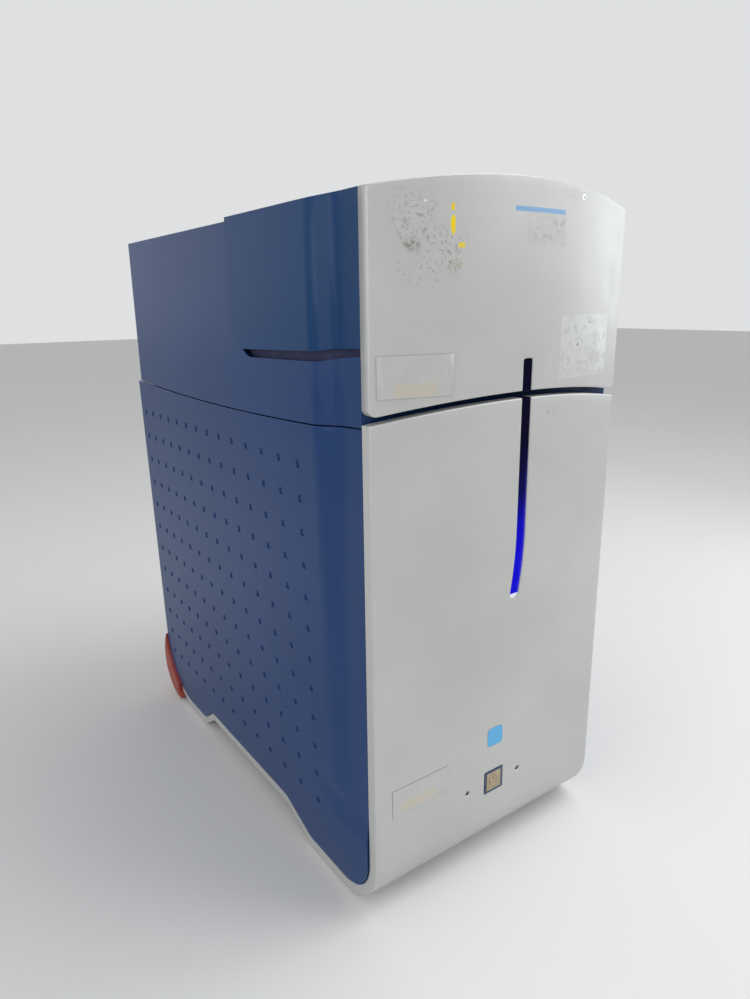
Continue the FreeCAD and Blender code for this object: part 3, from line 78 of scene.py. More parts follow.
SIDE_FOOT_HALF = 149.3 * MM
SIDE_TOP_HALF = 159.3 * MM
SIDE_SEAM = 468.5 * MM
SEAM_SAG = 6.5 * MM
NECK_BACK = 40.0 * MM
SHOULDER_BACK = 63.0 * MM
FOOT_SHOULDER_BACK = 69.0 * MM
SHOULDER_EASE = 0.55
GROOVE = 0.6 * MM
REAR_BACK = 531.0 * MM
REAR_TOP_BACK = 522.0 * MM
REAR_RADIUS = 80.0 * MM
RIM = 10.0 * MM
RECESS_RISE = 20.8 * MM
RAMP_BACK = (121.0 * MM, 171.0 * MM)
STEP_BACK = (378.0 * MM, 407.0 * MM)
RIM_BLEND = 20.0 * MM
COVER_WALL = 2.5 * MM

DIMPLE_COLUMNS = 14
DIMPLE_ROWS = 12
DIMPLE_FIRST_BACK = 98.0 * MM
DIMPLE_PITCH_BACK = 31.4 * MM
DIMPLE_CROWDING = 0.38 * MM
DIMPLE_TOP = 427.7 * MM
DIMPLE_PITCH = 32.1 * MM
DIMPLE_HALF = 3.2 * MM
DIMPLE_DEPTH = 1.3 * MM
DIMPLE_WALL = 0.2
DIMPLE_LINES = (-1.5, -1.0, DIMPLE_WALL - 1, -0.4, 0.0, 0.4, 1 - DIMPLE_WALL, 1.0, 1.5)


# Materials: every one is a node tree over object coordinates

def new_material(name):
    material = bpy.data.materials.new(name)
    material.use_nodes = True
    tree = material.node_tree
    shader = tree.nodes["Principled BSDF"]
    return material, tree, shader


def coordinates(tree):
    return tree.nodes.new("ShaderNodeTexCoord").outputs["Object"]


def noise(tree, scale, detail=2.0, roughness=0.5, vector=None):
    node = tree.nodes.new("ShaderNodeTexNoise")
    node.inputs["Scale"].default_value = scale
    node.inputs["Detail"].default_value = detail
    node.inputs["Roughness"].default_value = roughness
    tree.links.new(vector or coordinates(tree), node.inputs["Vector"])
    return node.outputs["Fac"]


def ramp(tree, source, stops):
    """Colour ramp over (position, colour) stops."""
    node = tree.nodes.new("ShaderNodeValToRGB")
    elements = node.color_ramp.elements
    while len(elements) < len(stops):
        elements.new(0.5)
    for element, (position, colour) in zip(elements, stops):
        element.position = position
        element.color = (*colour, 1.0)
    tree.links.new(source, node.inputs["Fac"])
    return node.outputs["Color"]


def level_ramp(tree, source, low, high, from_value, to_value):
    """Maps source from low..high to from_value..to_value."""
    node = tree.nodes.new("ShaderNodeMapRange")
    node.inputs["From Min"].default_value = low
    node.inputs["From Max"].default_value = high
    node.inputs["To Min"].default_value = from_value
    node.inputs["To Max"].default_value = to_value
    tree.links.new(source, node.inputs["Value"])
    return node.outputs["Result"]


def mix(tree, factor, first, second):
    node = tree.nodes.new("ShaderNodeMix")
    node.data_type = "RGBA"
    for socket, value in (("Factor", factor), ("A", first), ("B", second)):
        target = [item for item in node.inputs if item.name == socket and item.type in
                  (("VALUE",) if socket == "Factor" else ("RGBA",))][0]
        if isinstance(value, (int, float)):
            target.default_value = value
        elif isinstance(value, tuple):
            target.default_value = (*value, 1.0)
        else:
            tree.links.new(value, target)
    return [item for item in node.outputs if item.type == "RGBA"][0]


def math_node(tree, operation, first, second=0.0):
    node = tree.nodes.new("ShaderNodeMath")
    node.operation = operation
    for index, value in enumerate((first, second)):
        if isinstance(value, (int, float)):
            node.inputs[index].default_value = value
        else:
            tree.links.new(value, node.inputs[index])
    return node.outputs["Value"]


def bump(tree, shader, height, strength, distance):
    node = tree.nodes.new("ShaderNodeBump")
    node.inputs["Strength"].default_value = strength
    node.inputs["Distance"].default_value = distance
    tree.links.new(height, node.inputs["Height"])
    tree.links.new(node.outputs["Normal"], shader.inputs["Normal"])


def grained(name, colour, second, roughness=0.45, metallic=0.0, grain=700.0, depth=0.03 * MM,
            strength=0.4, patch=14.0, spread=0.08):
    """Surface with slow colour variation, a fine grain and uneven gloss."""
    material, tree, shader = new_material(name)
    cloud = noise(tree, patch, 3.0)
    tint = ramp(tree, cloud, [(0.3, colour), (0.7, second)])
    tree.links.new(tint, shader.inputs["Base Color"])
    tree.links.new(level_ramp(tree, noise(tree, patch * 4, 4.0), 0.3, 0.7, roughness - spread,
                              roughness + spread), shader.inputs["Roughness"])
    shader.inputs["Metallic"].default_value = metallic
    bump(tree, shader, noise(tree, grain, 2.0), strength, depth)
    return material


def region(tree, lows, highs, feather=0.5 * MM):
    """One inside the box from lows to highs in object coordinates (None leaves a side open), zero outside."""
    split = tree.nodes.new("ShaderNodeSeparateXYZ")
    tree.links.new(coordinates(tree), split.inputs["Vector"])
    inside = None
    for axis, low, high in zip("XYZ", lows, highs):
        for edge, sign in ((low, 1), (high, -1)):
            if edge is None:
                continue
            start, end = (edge - feather, edge + feather) if sign > 0 else (edge + feather, edge - feather)
            share = level_ramp(tree, split.outputs[axis], start, end, 0.0, 1.0)
            inside = share if inside is None else math_node(tree, "MULTIPLY", inside, share)
    return inside


def spot(tree, x, z, radius, feather=0.3 * MM):
    """One inside a round spot on the front, zero outside it."""
    split = tree.nodes.new("ShaderNodeSeparateXYZ")
    tree.links.new(coordinates(tree), split.inputs["Vector"])
    across = math_node(tree, "SUBTRACT", split.outputs["X"], x)
    up = math_node(tree, "SUBTRACT", split.outputs["Z"], z)
    square = math_node(tree, "ADD", math_node(tree, "MULTIPLY", across, across),
                       math_node(tree, "MULTIPLY", up, up))
    return level_ramp(tree, math_node(tree, "SQRT", square), radius + feather, radius - feather, 0.0, 1.0)


def scrap(tree, x, z, half_width, half_height):
    """One inside a torn oval scrap on the front, zero outside it."""
    split = tree.nodes.new("ShaderNodeSeparateXYZ")
    tree.links.new(coordinates(tree), split.inputs["Vector"])
    across = math_node(tree, "MULTIPLY", math_node(tree, "SUBTRACT", split.outputs["X"], x), 1 / half_width)
    up = math_node(tree, "MULTIPLY", math_node(tree, "SUBTRACT", split.outputs["Z"], z), 1 / half_height)
    reach = math_node(tree, "ADD", math_node(tree, "POWER", math_node(tree, "ABSOLUTE", across), 3.0),
                      math_node(tree, "POWER", math_node(tree, "ABSOLUTE", up), 3.0))
    torn = math_node(tree, "ADD", reach, level_ramp(tree, noise(tree, 420.0, 2.0), 0.3, 0.7, -0.3, 0.5))
    return level_ramp(tree, torn, 0.9, 0.7, 0.0, 1.0)


def silver_paint():
    """Metallic grey lacquer with faint flake, glue left by old stickers, scraps of tape, specks, and droplets with
    painted shade on their rims.
    """
    material, tree, shader = new_material("silver_lacquer")
    cloud = noise(tree, 9.0, 4.0)
    tint = ramp(tree, cloud, [(0.3, SILVER_DARK), (0.7, SILVER_LIGHT)])
    flake = noise(tree, 2600.0, 1.0)
    tint = mix(tree, level_ramp(tree, flake, 0.55, 0.75, 0.0, 0.16), tint, (0.8, 0.8, 0.79))
    for low, high, scale, start, amount, colour, feather in GLUE:
        grime = level_ramp(tree, noise(tree, scale, 6.0, 0.7), start, start + 0.07, 0.0, amount)
        inside = region(tree, (low[0] * MM, None, low[1] * MM), (high[0] * MM, None, high[1] * MM), feather * MM)
        tint = mix(tree, math_node(tree, "MULTIPLY", inside, grime), tint, colour)
    tape = region(tree, (TAPE[0][0] * MM, None, TAPE[0][1] * MM), (TAPE[1][0] * MM, None, TAPE[1][1] * MM), 0.3 * MM)
    tint = mix(tree, tape, tint, TAPE[2])
    for x, z, half_width, half_height, colour in SCRAPS:
        tint = mix(tree, scrap(tree, x * MM, z * MM, half_width * MM, half_height * MM), tint, colour)
    # Round spots: real specks, and droplets whose dark rims are painted shade
    for x, z, radius, colour in SPECKS_AND_DROPLET_SHADE:
        tint = mix(tree, spot(tree, x * MM, z * MM, radius * MM), tint, colour)
    tree.links.new(tint, shader.inputs["Base Color"])
    shader.inputs["Metallic"].default_value = 0.3
    tree.links.new(level_ramp(tree, noise(tree, 40.0, 4.0), 0.3, 0.7, 0.36, 0.44), shader.inputs["Roughness"])
    bump(tree, shader, noise(tree, 1500.0, 2.0), 0.2, 0.02 * MM)
    return material


def blue_plastic(name, light, dark, specular):
    """Deep blue moulded plastic with a spark-eroded grain that glints on the shoulders."""
    material, tree, shader = new_material(name)
    tint = ramp(tree, noise(tree, 6.0, 3.0), [(0.3, dark), (0.7, light)])
    tree.links.new(tint, shader.inputs["Base Color"])
    tree.links.new(level_ramp(tree, noise(tree, 1100.0, 3.0), 0.35, 0.65, 0.27, 0.36),
                   shader.inputs["Roughness"])
    coarse = noise(tree, 620.0, 3.0, 0.6)
    fine = noise(tree, 1500.0, 2.0)
    bump(tree, shader, math_node(tree, "ADD", coarse, fine), 0.6, 0.05 * MM)
    shader.inputs["Specular IOR Level"].default_value = specular
    return material


def glow_guide():
    """Light guide: near black at the top, lit deep blue towards its foot, brighter along one flank, with a painted
    highlight glowing along its very foot.
    """
    material, tree, shader = new_material("lit_guide")
    split = tree.nodes.new("ShaderNodeSeparateXYZ")
    tree.links.new(coordinates(tree), split.inputs["Vector"])
    share = level_ramp(tree, split.outputs["Z"], 0.300, 0.520, 0.0, 1.0)
    glow = ramp(tree, share, [(0.0, (0.002, 0.0, 0.60)), (0.2, (0.002, 0.0, 0.58)), (0.318, (0.002, 0.0, 0.44)),
                              (0.386, (0.001, 0.0, 0.23)), (0.455, (0.0, 0.0, 0.08)), (0.55, (0.0, 0.0, 0.028)),
                              (0.7, (0.0, 0.0, 0.009))])
    flank = level_ramp(tree, split.outputs["X"], 0.0025, 0.005, 0.0, 0.4)
    shade = mix(tree, flank, glow, (0.09, 0.08, 0.70))
    lit = mix(tree, level_ramp(tree, share, 0.35, 0.65, 1.0, 0.0), glow, shade)
    # Painted highlight: a pale band glowing at the guide's foot stands in for the bottom wall of the slit lit from
    # above
    lit = mix(tree, level_ramp(tree, split.outputs["Z"], 0.3018, 0.3028, 1.0, 0.0), lit, (0.80, 0.81, 0.86))
    tree.links.new(ramp(tree, noise(tree, 40.0), [(0.3, (0.001, 0.001, 0.004)), (0.7, (0.002, 0.001, 0.006))]),
                   shader.inputs["Base Color"])
    tree.links.new(lit, shader.inputs["Emission Color"])
    shader.inputs["Emission Strength"].default_value = 1.0
    shader.inputs["Roughness"].default_value = 0.4
    shader.inputs["Specular IOR Level"].default_value = 0.03
    bump(tree, shader, noise(tree, 300.0), 0.1, 0.05 * MM)
    return material


def label_film(name, low, high, patch_low, patch_high):
    """Blank pale film with a blank cream panel on it and a faint worn edge."""
    material, tree, shader = new_material(name)
    base = ramp(tree, noise(tree, 60.0, 3.0), [(0.3, (0.50, 0.505, 0.495)), (0.7, (0.54, 0.545, 0.535))])
    cream = region(tree, (patch_low[0], None, patch_low[1]), (patch_high[0], None, patch_high[1]), 0.2 * MM)
    tint = mix(tree, cream, base, (0.56, 0.52, 0.44))
    inner = region(tree, (low.x + 0.4 * MM, None, low.z + 0.4 * MM), (high.x - 0.4 * MM, None, high.z - 0.4 * MM),
                   0.2 * MM)
    tint = mix(tree, inner, (0.42, 0.425, 0.42), tint)
    tree.links.new(tint, shader.inputs["Base Color"])
    shader.inputs["Roughness"].default_value = 0.38
    shader.inputs["Metallic"].default_value = 0.15
    bump(tree, shader, noise(tree, 200.0), 0.1, 0.02 * MM)
    return material


SILVER_LIGHT = (0.55, 0.555, 0.545)
SILVER_DARK = (0.50, 0.505, 0.495)
BLUE_LIGHT = (0.0015, 0.038, 0.155)
BLUE_DARK = (0.001, 0.032, 0.135)
HOOD_LIGHT = (0.0015, 0.043, 0.148)
HOOD_DARK = (0.001, 0.037, 0.128)

# Wear on the hood panel and painted shade on its droplets, in millimetres: (low x, low z), (high x, high z); then,
# for the glue, the scale of the patches, where they start, how strong they are, their colour and the soft edge
GLUE = [
    ((-128, 604), (-98, 640), 330.0, 0.535, 0.6, (0.20, 0.19, 0.175), 7.0),
    ((-100, 588), (-72, 618), 330.0, 0.535, 0.6, (0.20, 0.19, 0.17), 6.0),
    ((-126, 576), (-80, 600), 330.0, 0.575, 0.55, (0.22, 0.21, 0.19), 8.0),
    ((-121, 602), (-109, 609), 300.0, 0.44, 0.7, (0.17, 0.15, 0.12), 2.5),
    ((-82, 588), (-73, 595), 420.0, 0.47, 0.6, (0.30, 0.31, 0.14), 2.0),
    ((-8, 608), (40, 633), 60.0, 0.40, 0.3, (0.40, 0.40, 0.395), 0.6),
    ((-2, 611), (38, 633), 170.0, 0.53, 0.45, (0.27, 0.27, 0.265), 2.5),
    ((41, 497), (121, 552), 60.0, 0.40, 0.45, (0.66, 0.67, 0.67), 0.6),
    ((44, 500), (100, 549), 170.0, 0.53, 0.4, (0.33, 0.33, 0.325), 5.0),
    ((103, 500), (121, 540), 60.0, 0.40, 0.35, (0.75, 0.76, 0.76), 1.5),
    ((34, 646), (58, 653), 400.0, 0.52, 0.6, (0.27, 0.27, 0.265), 2.5),
]
TAPE = ((-21.8, 632.9), (38.1, 636.6), (0.21, 0.37, 0.58))
SCRAPS = [
    (-80.9, 633.0, 1.9, 2.9, (0.78, 0.60, 0.03)),
    (-80.7, 620.6, 2.4, 8.0, (0.86, 0.66, 0.01)),
    (-72.5, 606.0, 3.6, 2.2, (0.78, 0.60, 0.05)),
]
SPECKS_AND_DROPLET_SHADE = [
    # The first seven spots are three raised white droplets: their dark rims, and the dark middle of the largest, are
    # painted shade; the rest are real specks
    (64.6, 648.6, 3.8, (0.30, 0.30, 0.30)),
    (64.3, 648.7, 3.1, (0.85, 0.86, 0.86)),
    (64.6, 648.3, 1.3, (0.32, 0.32, 0.32)),
    (56.0, 650.2, 1.3, (0.34, 0.34, 0.34)),
    (55.9, 650.3, 0.8, (0.78, 0.78, 0.78)),
    (51.0, 650.9, 1.2, (0.36, 0.36, 0.36)),
    (50.9, 651.0, 0.7, (0.76, 0.76, 0.76)),
    (-104.0, 636.3, 0.9, (0.85, 0.85, 0.83)),
    (27.6, 470.0, 0.8, (0.10, 0.10, 0.10)),
    (36.4, 468.8, 0.5, (0.20, 0.20, 0.20)),
    (67.5, 526.0, 1.3, (0.12, 0.12, 0.12)),
    (85.6, 545.1, 0.9, (0.20, 0.20, 0.20)),
    (43.0, 501.5, 0.7, (0.30, 0.30, 0.30)),
]

SILVER = silver_paint()
BLUE = blue_plastic("blue_moulding", BLUE_LIGHT, BLUE_DARK, 0.36)
HOOD_BLUE = blue_plastic("hood_moulding", HOOD_LIGHT, HOOD_DARK, 0.26)
NAVY = grained("navy_liner", (0.016, 0.02, 0.08), (0.022, 0.027, 0.105), 0.6)
RED = grained("red_moulding", (0.27, 0.032, 0.02), (0.33, 0.042, 0.026), 0.42)
RUBBER = grained("black_rubber_pad", (0.012, 0.012, 0.012), (0.03, 0.03, 0.03), 0.85, grain=400.0)
ZINC = grained("zinc_sheet", (0.42, 0.43, 0.44), (0.55, 0.56, 0.57), 0.38, 0.9, grain=180.0, patch=40.0)
STEEL = grained("ground_steel", (0.55, 0.55, 0.56), (0.68, 0.68, 0.69), 0.22, 1.0, grain=1800.0)
ANODISED = grained("black_anodised", (0.016, 0.016, 0.018), (0.03, 0.03, 0.033), 0.42, 0.6)
ALUMINIUM = grained("machined_aluminium", (0.52, 0.53, 0.54), (0.62, 0.63, 0.64), 0.32, 1.0, grain=900.0)
BLACK = grained("black_moulding", (0.015, 0.015, 0.017), (0.028, 0.028, 0.03), 0.5)
GREY = grained("grey_moulding", (0.06, 0.066, 0.07), (0.085, 0.09, 0.1), 0.5)
CASE = grained("folded_case", (0.42, 0.43, 0.44), (0.5, 0.51, 0.52), 0.4, 0.8)
BOARD = grained("green_board", (0.006, 0.09, 0.03), (0.01, 0.13, 0.045), 0.35, grain=260.0, patch=120.0)
BRASS = grained("brass_turned", (0.55, 0.38, 0.13), (0.66, 0.47, 0.18), 0.3, 1.0)
BUTTON = grained("warm_metal", (0.40, 0.33, 0.23), (0.50, 0.42, 0.30), 0.3, 0.9, grain=1600.0, patch=90.0)
BADGE = grained("badge_blue", (0.085, 0.40, 0.74), (0.11, 0.46, 0.80), 0.3, grain=500.0)
GUIDE = glow_guide()


def glass(name, colour, roughness, transmission):
    material, tree, shader = new_material(name)
    tint = ramp(tree, noise(tree, 80.0), [(0.3, colour), (0.7, tuple(0.92 * c for c in colour))])
    tree.links.new(tint, shader.inputs["Base Color"])
    shader.inputs["Roughness"].default_value = roughness
    shader.inputs["Transmission Weight"].default_value = transmission
    bump(tree, shader, noise(tree, 300.0), 0.05, 0.02 * MM)
    return material


LENS = glass("coated_glass", (0.55, 0.72, 0.85), 0.05, 0.6)
WINDOW = glass("window_plastic", (0.05, 0.055, 0.06), 0.12, 0.2)
BEZEL = glass("bezel_plastic", (0.045, 0.085, 0.165), 0.25, 0.1)

NODE_MATERIALS = {
    SILVER: ["base_tray"],
    BLUE: ["upper_cover"],
    HOOD_BLUE: ["hood_shell"],
    NAVY: ["loading_deck"],
    RED: ["rear_bumper"],
    RUBBER: ["rubber_feet", "vibration_isolators"],
    ZINC: ["base_plate", "left_frame", "right_frame", "hinge_posts", "hinge_beam", "hinge_brackets",
           "hinge_arms", "shelf_brackets", "rear_panel"],
    STEEL: ["hinge_pins", "guide_rods", "lead_screw", "panel_screws", "fan_guard"],
    ANODISED: ["optics_plate", "dichroic_housing", "pinhole_block", "detector_housing", "laser_heatsink"],
    ALUMINIUM: ["laser_module", "beam_tube", "scan_motor", "objective_arm", "rail_towers", "filter_wheel"],
    BLACK: ["stepper_motor", "filter_motor", "fan_frame", "fan_rotor", "inlet_socket", "data_connectors",
            "switch_body", "board_components"],
    GREY: ["cartridge_carriage"],
    CASE: ["power_supply"],
    BOARD: ["main_board", "led_board"],
    BRASS: ["board_standoffs"],
    LENS: ["objective_lens", "emission_filters"],
    GUIDE: ["light_guide", "hood_light_guide"],
    BUTTON: ["power_button"],
    BEZEL: ["button_bezel"],
    WINDOW: ["indicator_windows"],
    BADGE: ["badge"],
}


def dress(node, material, bevel=0.4 * MM):
    """Own finish for a carried-over CAD node, with its corners eased by modifiers alone."""
    item = nodes[node]
    item.data.materials.clear()
    item.data.materials.append(material)
    weld = item.modifiers.new("weld", "WELD")
    weld.merge_threshold = 0.01 * MM
    if bevel > 0:
        ease = item.modifiers.new("ease", "BEVEL")
        ease.width = bevel
        ease.segments = 3
        ease.limit_method = "ANGLE"
        ease.angle_limit = math.radians(35)
        ease.harden_normals = True
    return item


BEVELS = {"upper_cover": 1.2, "hood_shell": 1.2, "rear_bumper": 2.0, "base_tray": 0.9, "loading_deck": 0.8,
          "rear_panel": 0.3, "badge": 0.1, "button_bezel": 0.8, "fan_guard": 0.0, "rubber_feet": 1.2}
for material, names in NODE_MATERIALS.items():
    for name in names:
        dress(name, material, BEVELS.get(name, 0.4) * MM)


# Mesh helpers

def add_piece(name, verts, faces, material, body, replaced=(), solid=0.0, outward=None, holes=()):
    """New mesh piece that rides on a body, smooth shaded, thickened inwards by solid.

    The faces are turned to look towards outward; each of holes is cut through the sheet."""
    mesh = bpy.data.meshes.new(name)
    mesh.from_pydata([tuple(v) for v in verts], [], faces)
    work = bmesh.new()
    work.from_mesh(mesh)
    bmesh.ops.remove_doubles(work, verts=work.verts, dist=0.005 * MM)
    bmesh.ops.dissolve_degenerate(work, dist=0.002 * MM, edges=work.edges)
    if outward is None:
        bmesh.ops.recalc_face_normals(work, faces=work.faces)
    else:
        work.normal_update()
        total = sum((face.normal * face.calc_area() for face in work.faces), Vector())
        if total.dot(Vector(outward)) < 0:
            bmesh.ops.reverse_faces(work, faces=work.faces)
    for face in work.faces:
        face.smooth = True
    work.to_mesh(mesh)
    work.free()
    mesh.materials.append(material)
    item = bpy.data.objects.new(name, mesh)
    bpy.context.scene.collection.objects.link(item)
    if solid > 0:
        thicken = item.modifiers.new("thickness", "SOLIDIFY")
        thicken.thickness = solid
        thicken.offset = -1.0
    if holes:
        drill(item, material, holes)
    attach(item, body)
    if replaced:
        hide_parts(*replaced)
    return item


def drill(item, material, holes):
    """Cuts tapered plugs out of the thickened sheet and keeps the result as its mesh."""
    rings = []
    for centre, outline, chamfer in holes:
        for reach, depth in ((chamfer, -2 * MM), (chamfer, 0.0), (0.0, chamfer), (0.0, 8 * MM)):
            ring = []
            for x, z in outline:
                length = math.hypot(x, z)
                grow = (length + reach) / length
                ring.append((centre[0] + x * grow, FRONT + depth, centre[1] + z * grow))
            rings.append(ring)
    verts, faces = [], []
    for number in range(0, len(rings), 4):
        start = len(verts)
        count = len(rings[number])
        for ring in rings[number:number + 4]:
            verts += ring
        for level in range(3):
            for n in range(count):
                first, second = start + level * count + n, start + level * count + (n + 1) % count
                faces.append((first, second, second + count, first + count))
        faces.append(tuple(start + n for n in range(count))[::-1])
        faces.append(tuple(start + 3 * count + n for n in range(count)))
    plug_mesh = bpy.data.meshes.new("plugs")
    plug_mesh.from_pydata(verts, [], faces)
    work = bmesh.new()
    work.from_mesh(plug_mesh)
    bmesh.ops.recalc_face_normals(work, faces=work.faces)
    work.to_mesh(plug_mesh)
    work.free()
    plug_mesh.materials.append(material)
    plug = bpy.data.objects.new("plugs", plug_mesh)
    bpy.context.scene.collection.objects.link(plug)
    bore = item.modifiers.new("holes", "BOOLEAN")
    bore.operation = "DIFFERENCE"
    bore.solver = "EXACT"
    bore.object = plug
    bpy.context.view_layer.update()
    result = bpy.data.meshes.new_from_object(item.evaluated_get(bpy.context.evaluated_depsgraph_get()))
    item.modifiers.clear()
    item.data = result
    result.set_sharp_from_angle(angle=math.radians(38))
    bpy.data.objects.remove(plug)


def round_hole(x, z, radius, chamfer):
    return (x, z), [(radius * math.cos(math.pi * n / 16), radius * math.sin(math.pi * n / 16))
                    for n in range(32)], chamfer


def square_hole(x, z, half, corner, chamfer):
    outline = []
    for turn in range(4):
        for step in range(7):
            angle = math.pi / 2 * (turn + step / 6)
            middle_x = (half - corner) * (1 if turn in (0, 3) else -1)
            middle_z = (half - corner) * (1 if turn in (0, 1) else -1)
            outline.append((middle_x + corner * math.cos(angle), middle_z + corner * math.sin(angle)))
    return (x, z), outline, chamfer


def grid_faces(rows, columns, flip=False, skip=None):
    faces = []
    for row in range(rows - 1):
        for column in range(columns - 1):
            if skip and skip(row, column):
                continue
            first = row * columns + column
            quad = (first, first + 1, first + columns + 1, first + columns)
            faces.append(quad[::-1] if flip else quad)
    return faces


def roll(radius, steps=5):
    """(inset, depth) pairs of a rounded edge, from its wall to its face."""
    angles = [math.pi / 2 * n / steps for n in range(steps + 1)]
    return [(radius - radius * math.cos(a), radius - radius * math.sin(a)) for a in angles]


def spaced(start, end, count):
    return [start + (end - start) * n / count for n in range(1, count)]


def smooth_share(value):
    value = min(max(value, 0.0), 1.0)
    return value * value * (3 - 2 * value)


def bulge(x, level):
    share = smooth_share((level - BULGE_FOOT) / (BULGE_TOP - BULGE_FOOT))
    return BULGE * share * (1 - (x / HALF) ** 2)


def arch(x, rise):
    return rise * (1 - (x / HALF) ** 2)


def slit_gap(x, level):
    """Distance of a point of the front from the rim of the slit, zero inside it."""
    below = SLIT_FOOT + SLIT_HALF - level
    above = level - SLIT_TOP + SLIT_CORNER
    if above <= 0:
        return max(math.hypot(x, max(below, 0.0)) - SLIT_HALF, 0.0)
    aside = max(abs(x) - SLIT_HALF + SLIT_CORNER, 0.0)
    return max(math.hypot(aside, above) - SLIT_CORNER, 0.0)


def slit_reach(level):
    """Half width of the slit at a height."""
    below = SLIT_FOOT + SLIT_HALF - level
    above = level - SLIT_TOP + SLIT_CORNER
    if below > 0:
        return math.sqrt(max(SLIT_HALF ** 2 - below ** 2, 0.0))
    if above > SLIT_CORNER + 1e-9:
        return 0.0
    return SLIT_HALF - SLIT_CORNER + math.sqrt(max(SLIT_CORNER ** 2 - max(above, 0.0) ** 2, 0.0))


def slit_depth(x, level):
    gap = slit_gap(x, level)
    if gap >= SLIT_ROLL:
        return 0.0
    return SLIT_ROLL - math.sqrt(max(SLIT_ROLL ** 2 - (SLIT_ROLL - gap) ** 2, 0.0))


# Silver front panels: a sheet with rolled edges, returns at the sides and a slot for the light

def panel_rows_lower():
    """(kind, value, inset, depth) rows from the seam down the front and round the bend."""
    rows = [("seam", 0.0, 0.0, PANEL_DEPTH)]
    rows += [("seam", 0.0, inset, depth) for inset, depth in roll(EDGE_ROLL)]
    rows += [("blend", share, EDGE_ROLL, 0.0) for share in spaced(0.0, 1.0, 16)]
    levels = [BULGE_TOP] + spaced(BULGE_TOP, SLIT_FOOT + SLIT_HALF, 10)
    levels += [SLIT_FOOT + SLIT_HALF * (1 - math.cos(math.pi / 2 * (1 - n / 8))) for n in range(9)]
    levels += [SLIT_FOOT - SLIT_ROLL * share for share in (0.2, 0.5, 1.0, 3.0)]
    levels += spaced(SLIT_FOOT - 3 * SLIT_ROLL, FOOT + BEND, 44)
    rows += [("level", level, 0.0, 0.0) for level in levels]
    rows += [("bend", math.pi / 2 * n / 18, 0.0, 0.0) for n in range(19)]
    rows.append(("bend", math.pi / 2, 0.0, PANEL_DEPTH))
    return rows


def panel_rows_upper():
    """Rows from the arched foot of the hood panel up to its arched top."""
    rows = [("foot", 0.0, 0.0, PANEL_DEPTH)]
    rows += [("foot", 0.0, inset, depth) for inset, depth in roll(EDGE_ROLL)]
    rows += [("foot", 0.0, height * MM, 0.0) for height in (2.0, 3.0, 4.5, 6.0, 7.0)]
    top_start = SLIT_TOP - 2 * SLIT_HALF
    rows += [("foot_blend", share, 7.0 * MM, top_start) for share in spaced(0.0, 1.0, 6)]
    levels = [top_start, SLIT_TOP - SLIT_CORNER]
    levels += [SLIT_TOP - SLIT_CORNER * (1 - math.sin(math.pi / 2 * n / 6)) for n in range(1, 7)]
    rows += [("level", level, 0.0, 0.0) for level in levels]
    rows.append(("cap", SLIT_TOP + SLIT_CAP, 0.0, 0.0))
    levels = [SLIT_TOP + SLIT_ROLL * share for share in (0.35, 0.65, 1.0, 3.0)]
    rows += [("level", level, 0.0, 0.0) for level in levels]
    rows += [("top_blend", share, 0.0, levels[-1]) for share in spaced(0.0, 1.0, 26)]
    rows += [("top", 0.0, inset, depth) for inset, depth in roll(EDGE_ROLL)[::-1]]
    rows.append(("top", 0.0, 0.0, PANEL_DEPTH))
    return rows


def row_point(row, x):
    """(back, level, inward back, inward level, depth) of a row at x."""
    kind, value, inset, depth = row
    if kind == "seam":
        return 0.0, LOWER_SEAM + arch(x, SEAM_RISE) - inset, 1.0, 0.0, depth
    if kind == "blend":
        start = LOWER_SEAM + arch(x, SEAM_RISE) - inset
        return 0.0, start + (BULGE_TOP - start) * value, 1.0, 0.0, depth
    if kind == "bend":
        back = BEND - BEND * math.cos(value)
        return back, FOOT + BEND - BEND * math.sin(value), math.cos(value), math.sin(value), depth
    if kind == "foot":
        return 0.0, UPPER_SEAM + arch(x, SEAM_RISE) + inset, 1.0, 0.0, depth
    if kind == "foot_blend":
        start = UPPER_SEAM + arch(x, SEAM_RISE) + inset
        return 0.0, start + (depth - start) * value, 1.0, 0.0, 0.0
    if kind == "top_blend":
        end = CROWN - ARCH_RISE + arch(x, ARCH_RISE) - EDGE_ROLL
        return 0.0, depth + (end - depth) * value, 1.0, 0.0, 0.0
    if kind == "top":
        return 0.0, CROWN - ARCH_RISE + arch(x, ARCH_RISE) - inset, 1.0, 0.0, depth
    return 0.0, value, 1.0, 0.0, depth


def row_half(row):
    """Half width of the panel in a row: narrower where the foot of the hood panel is rounded."""
    kind, value, inset, depth = row
    if kind != "foot" or inset >= CORNER_RADIUS:
        return HALF
    return HALF - CORNER_RADIUS + math.sqrt(CORNER_RADIUS ** 2 - (CORNER_RADIUS - inset) ** 2)


def panel_columns():
    """(kind, value, depth) columns of one half, from the side return to the wall of the slit."""
    columns = [("edge", 0.0, PANEL_DEPTH)]
    columns += [("edge", inset, depth) for inset, depth in roll(EDGE_ROLL)]
    columns += [("span", share, 0.0) for share in spaced(0.0, 1.0, 26)]
    columns += [("slit", SLIT_ROLL * share, 0.0) for share in (3.0, 1.0, 0.7, 0.45, 0.2, 0.06, 0.0)]
    columns.append(("wall", 0.0, SLIT_WALL))
    return columns


def column_x(column, half, reach):
    kind, value, depth = column
    if kind == "edge":
        return half - value
    if kind == "span":
        start, end = half - EDGE_ROLL, reach + 3 * SLIT_ROLL
        return start + (end - start) * value
    return reach + value


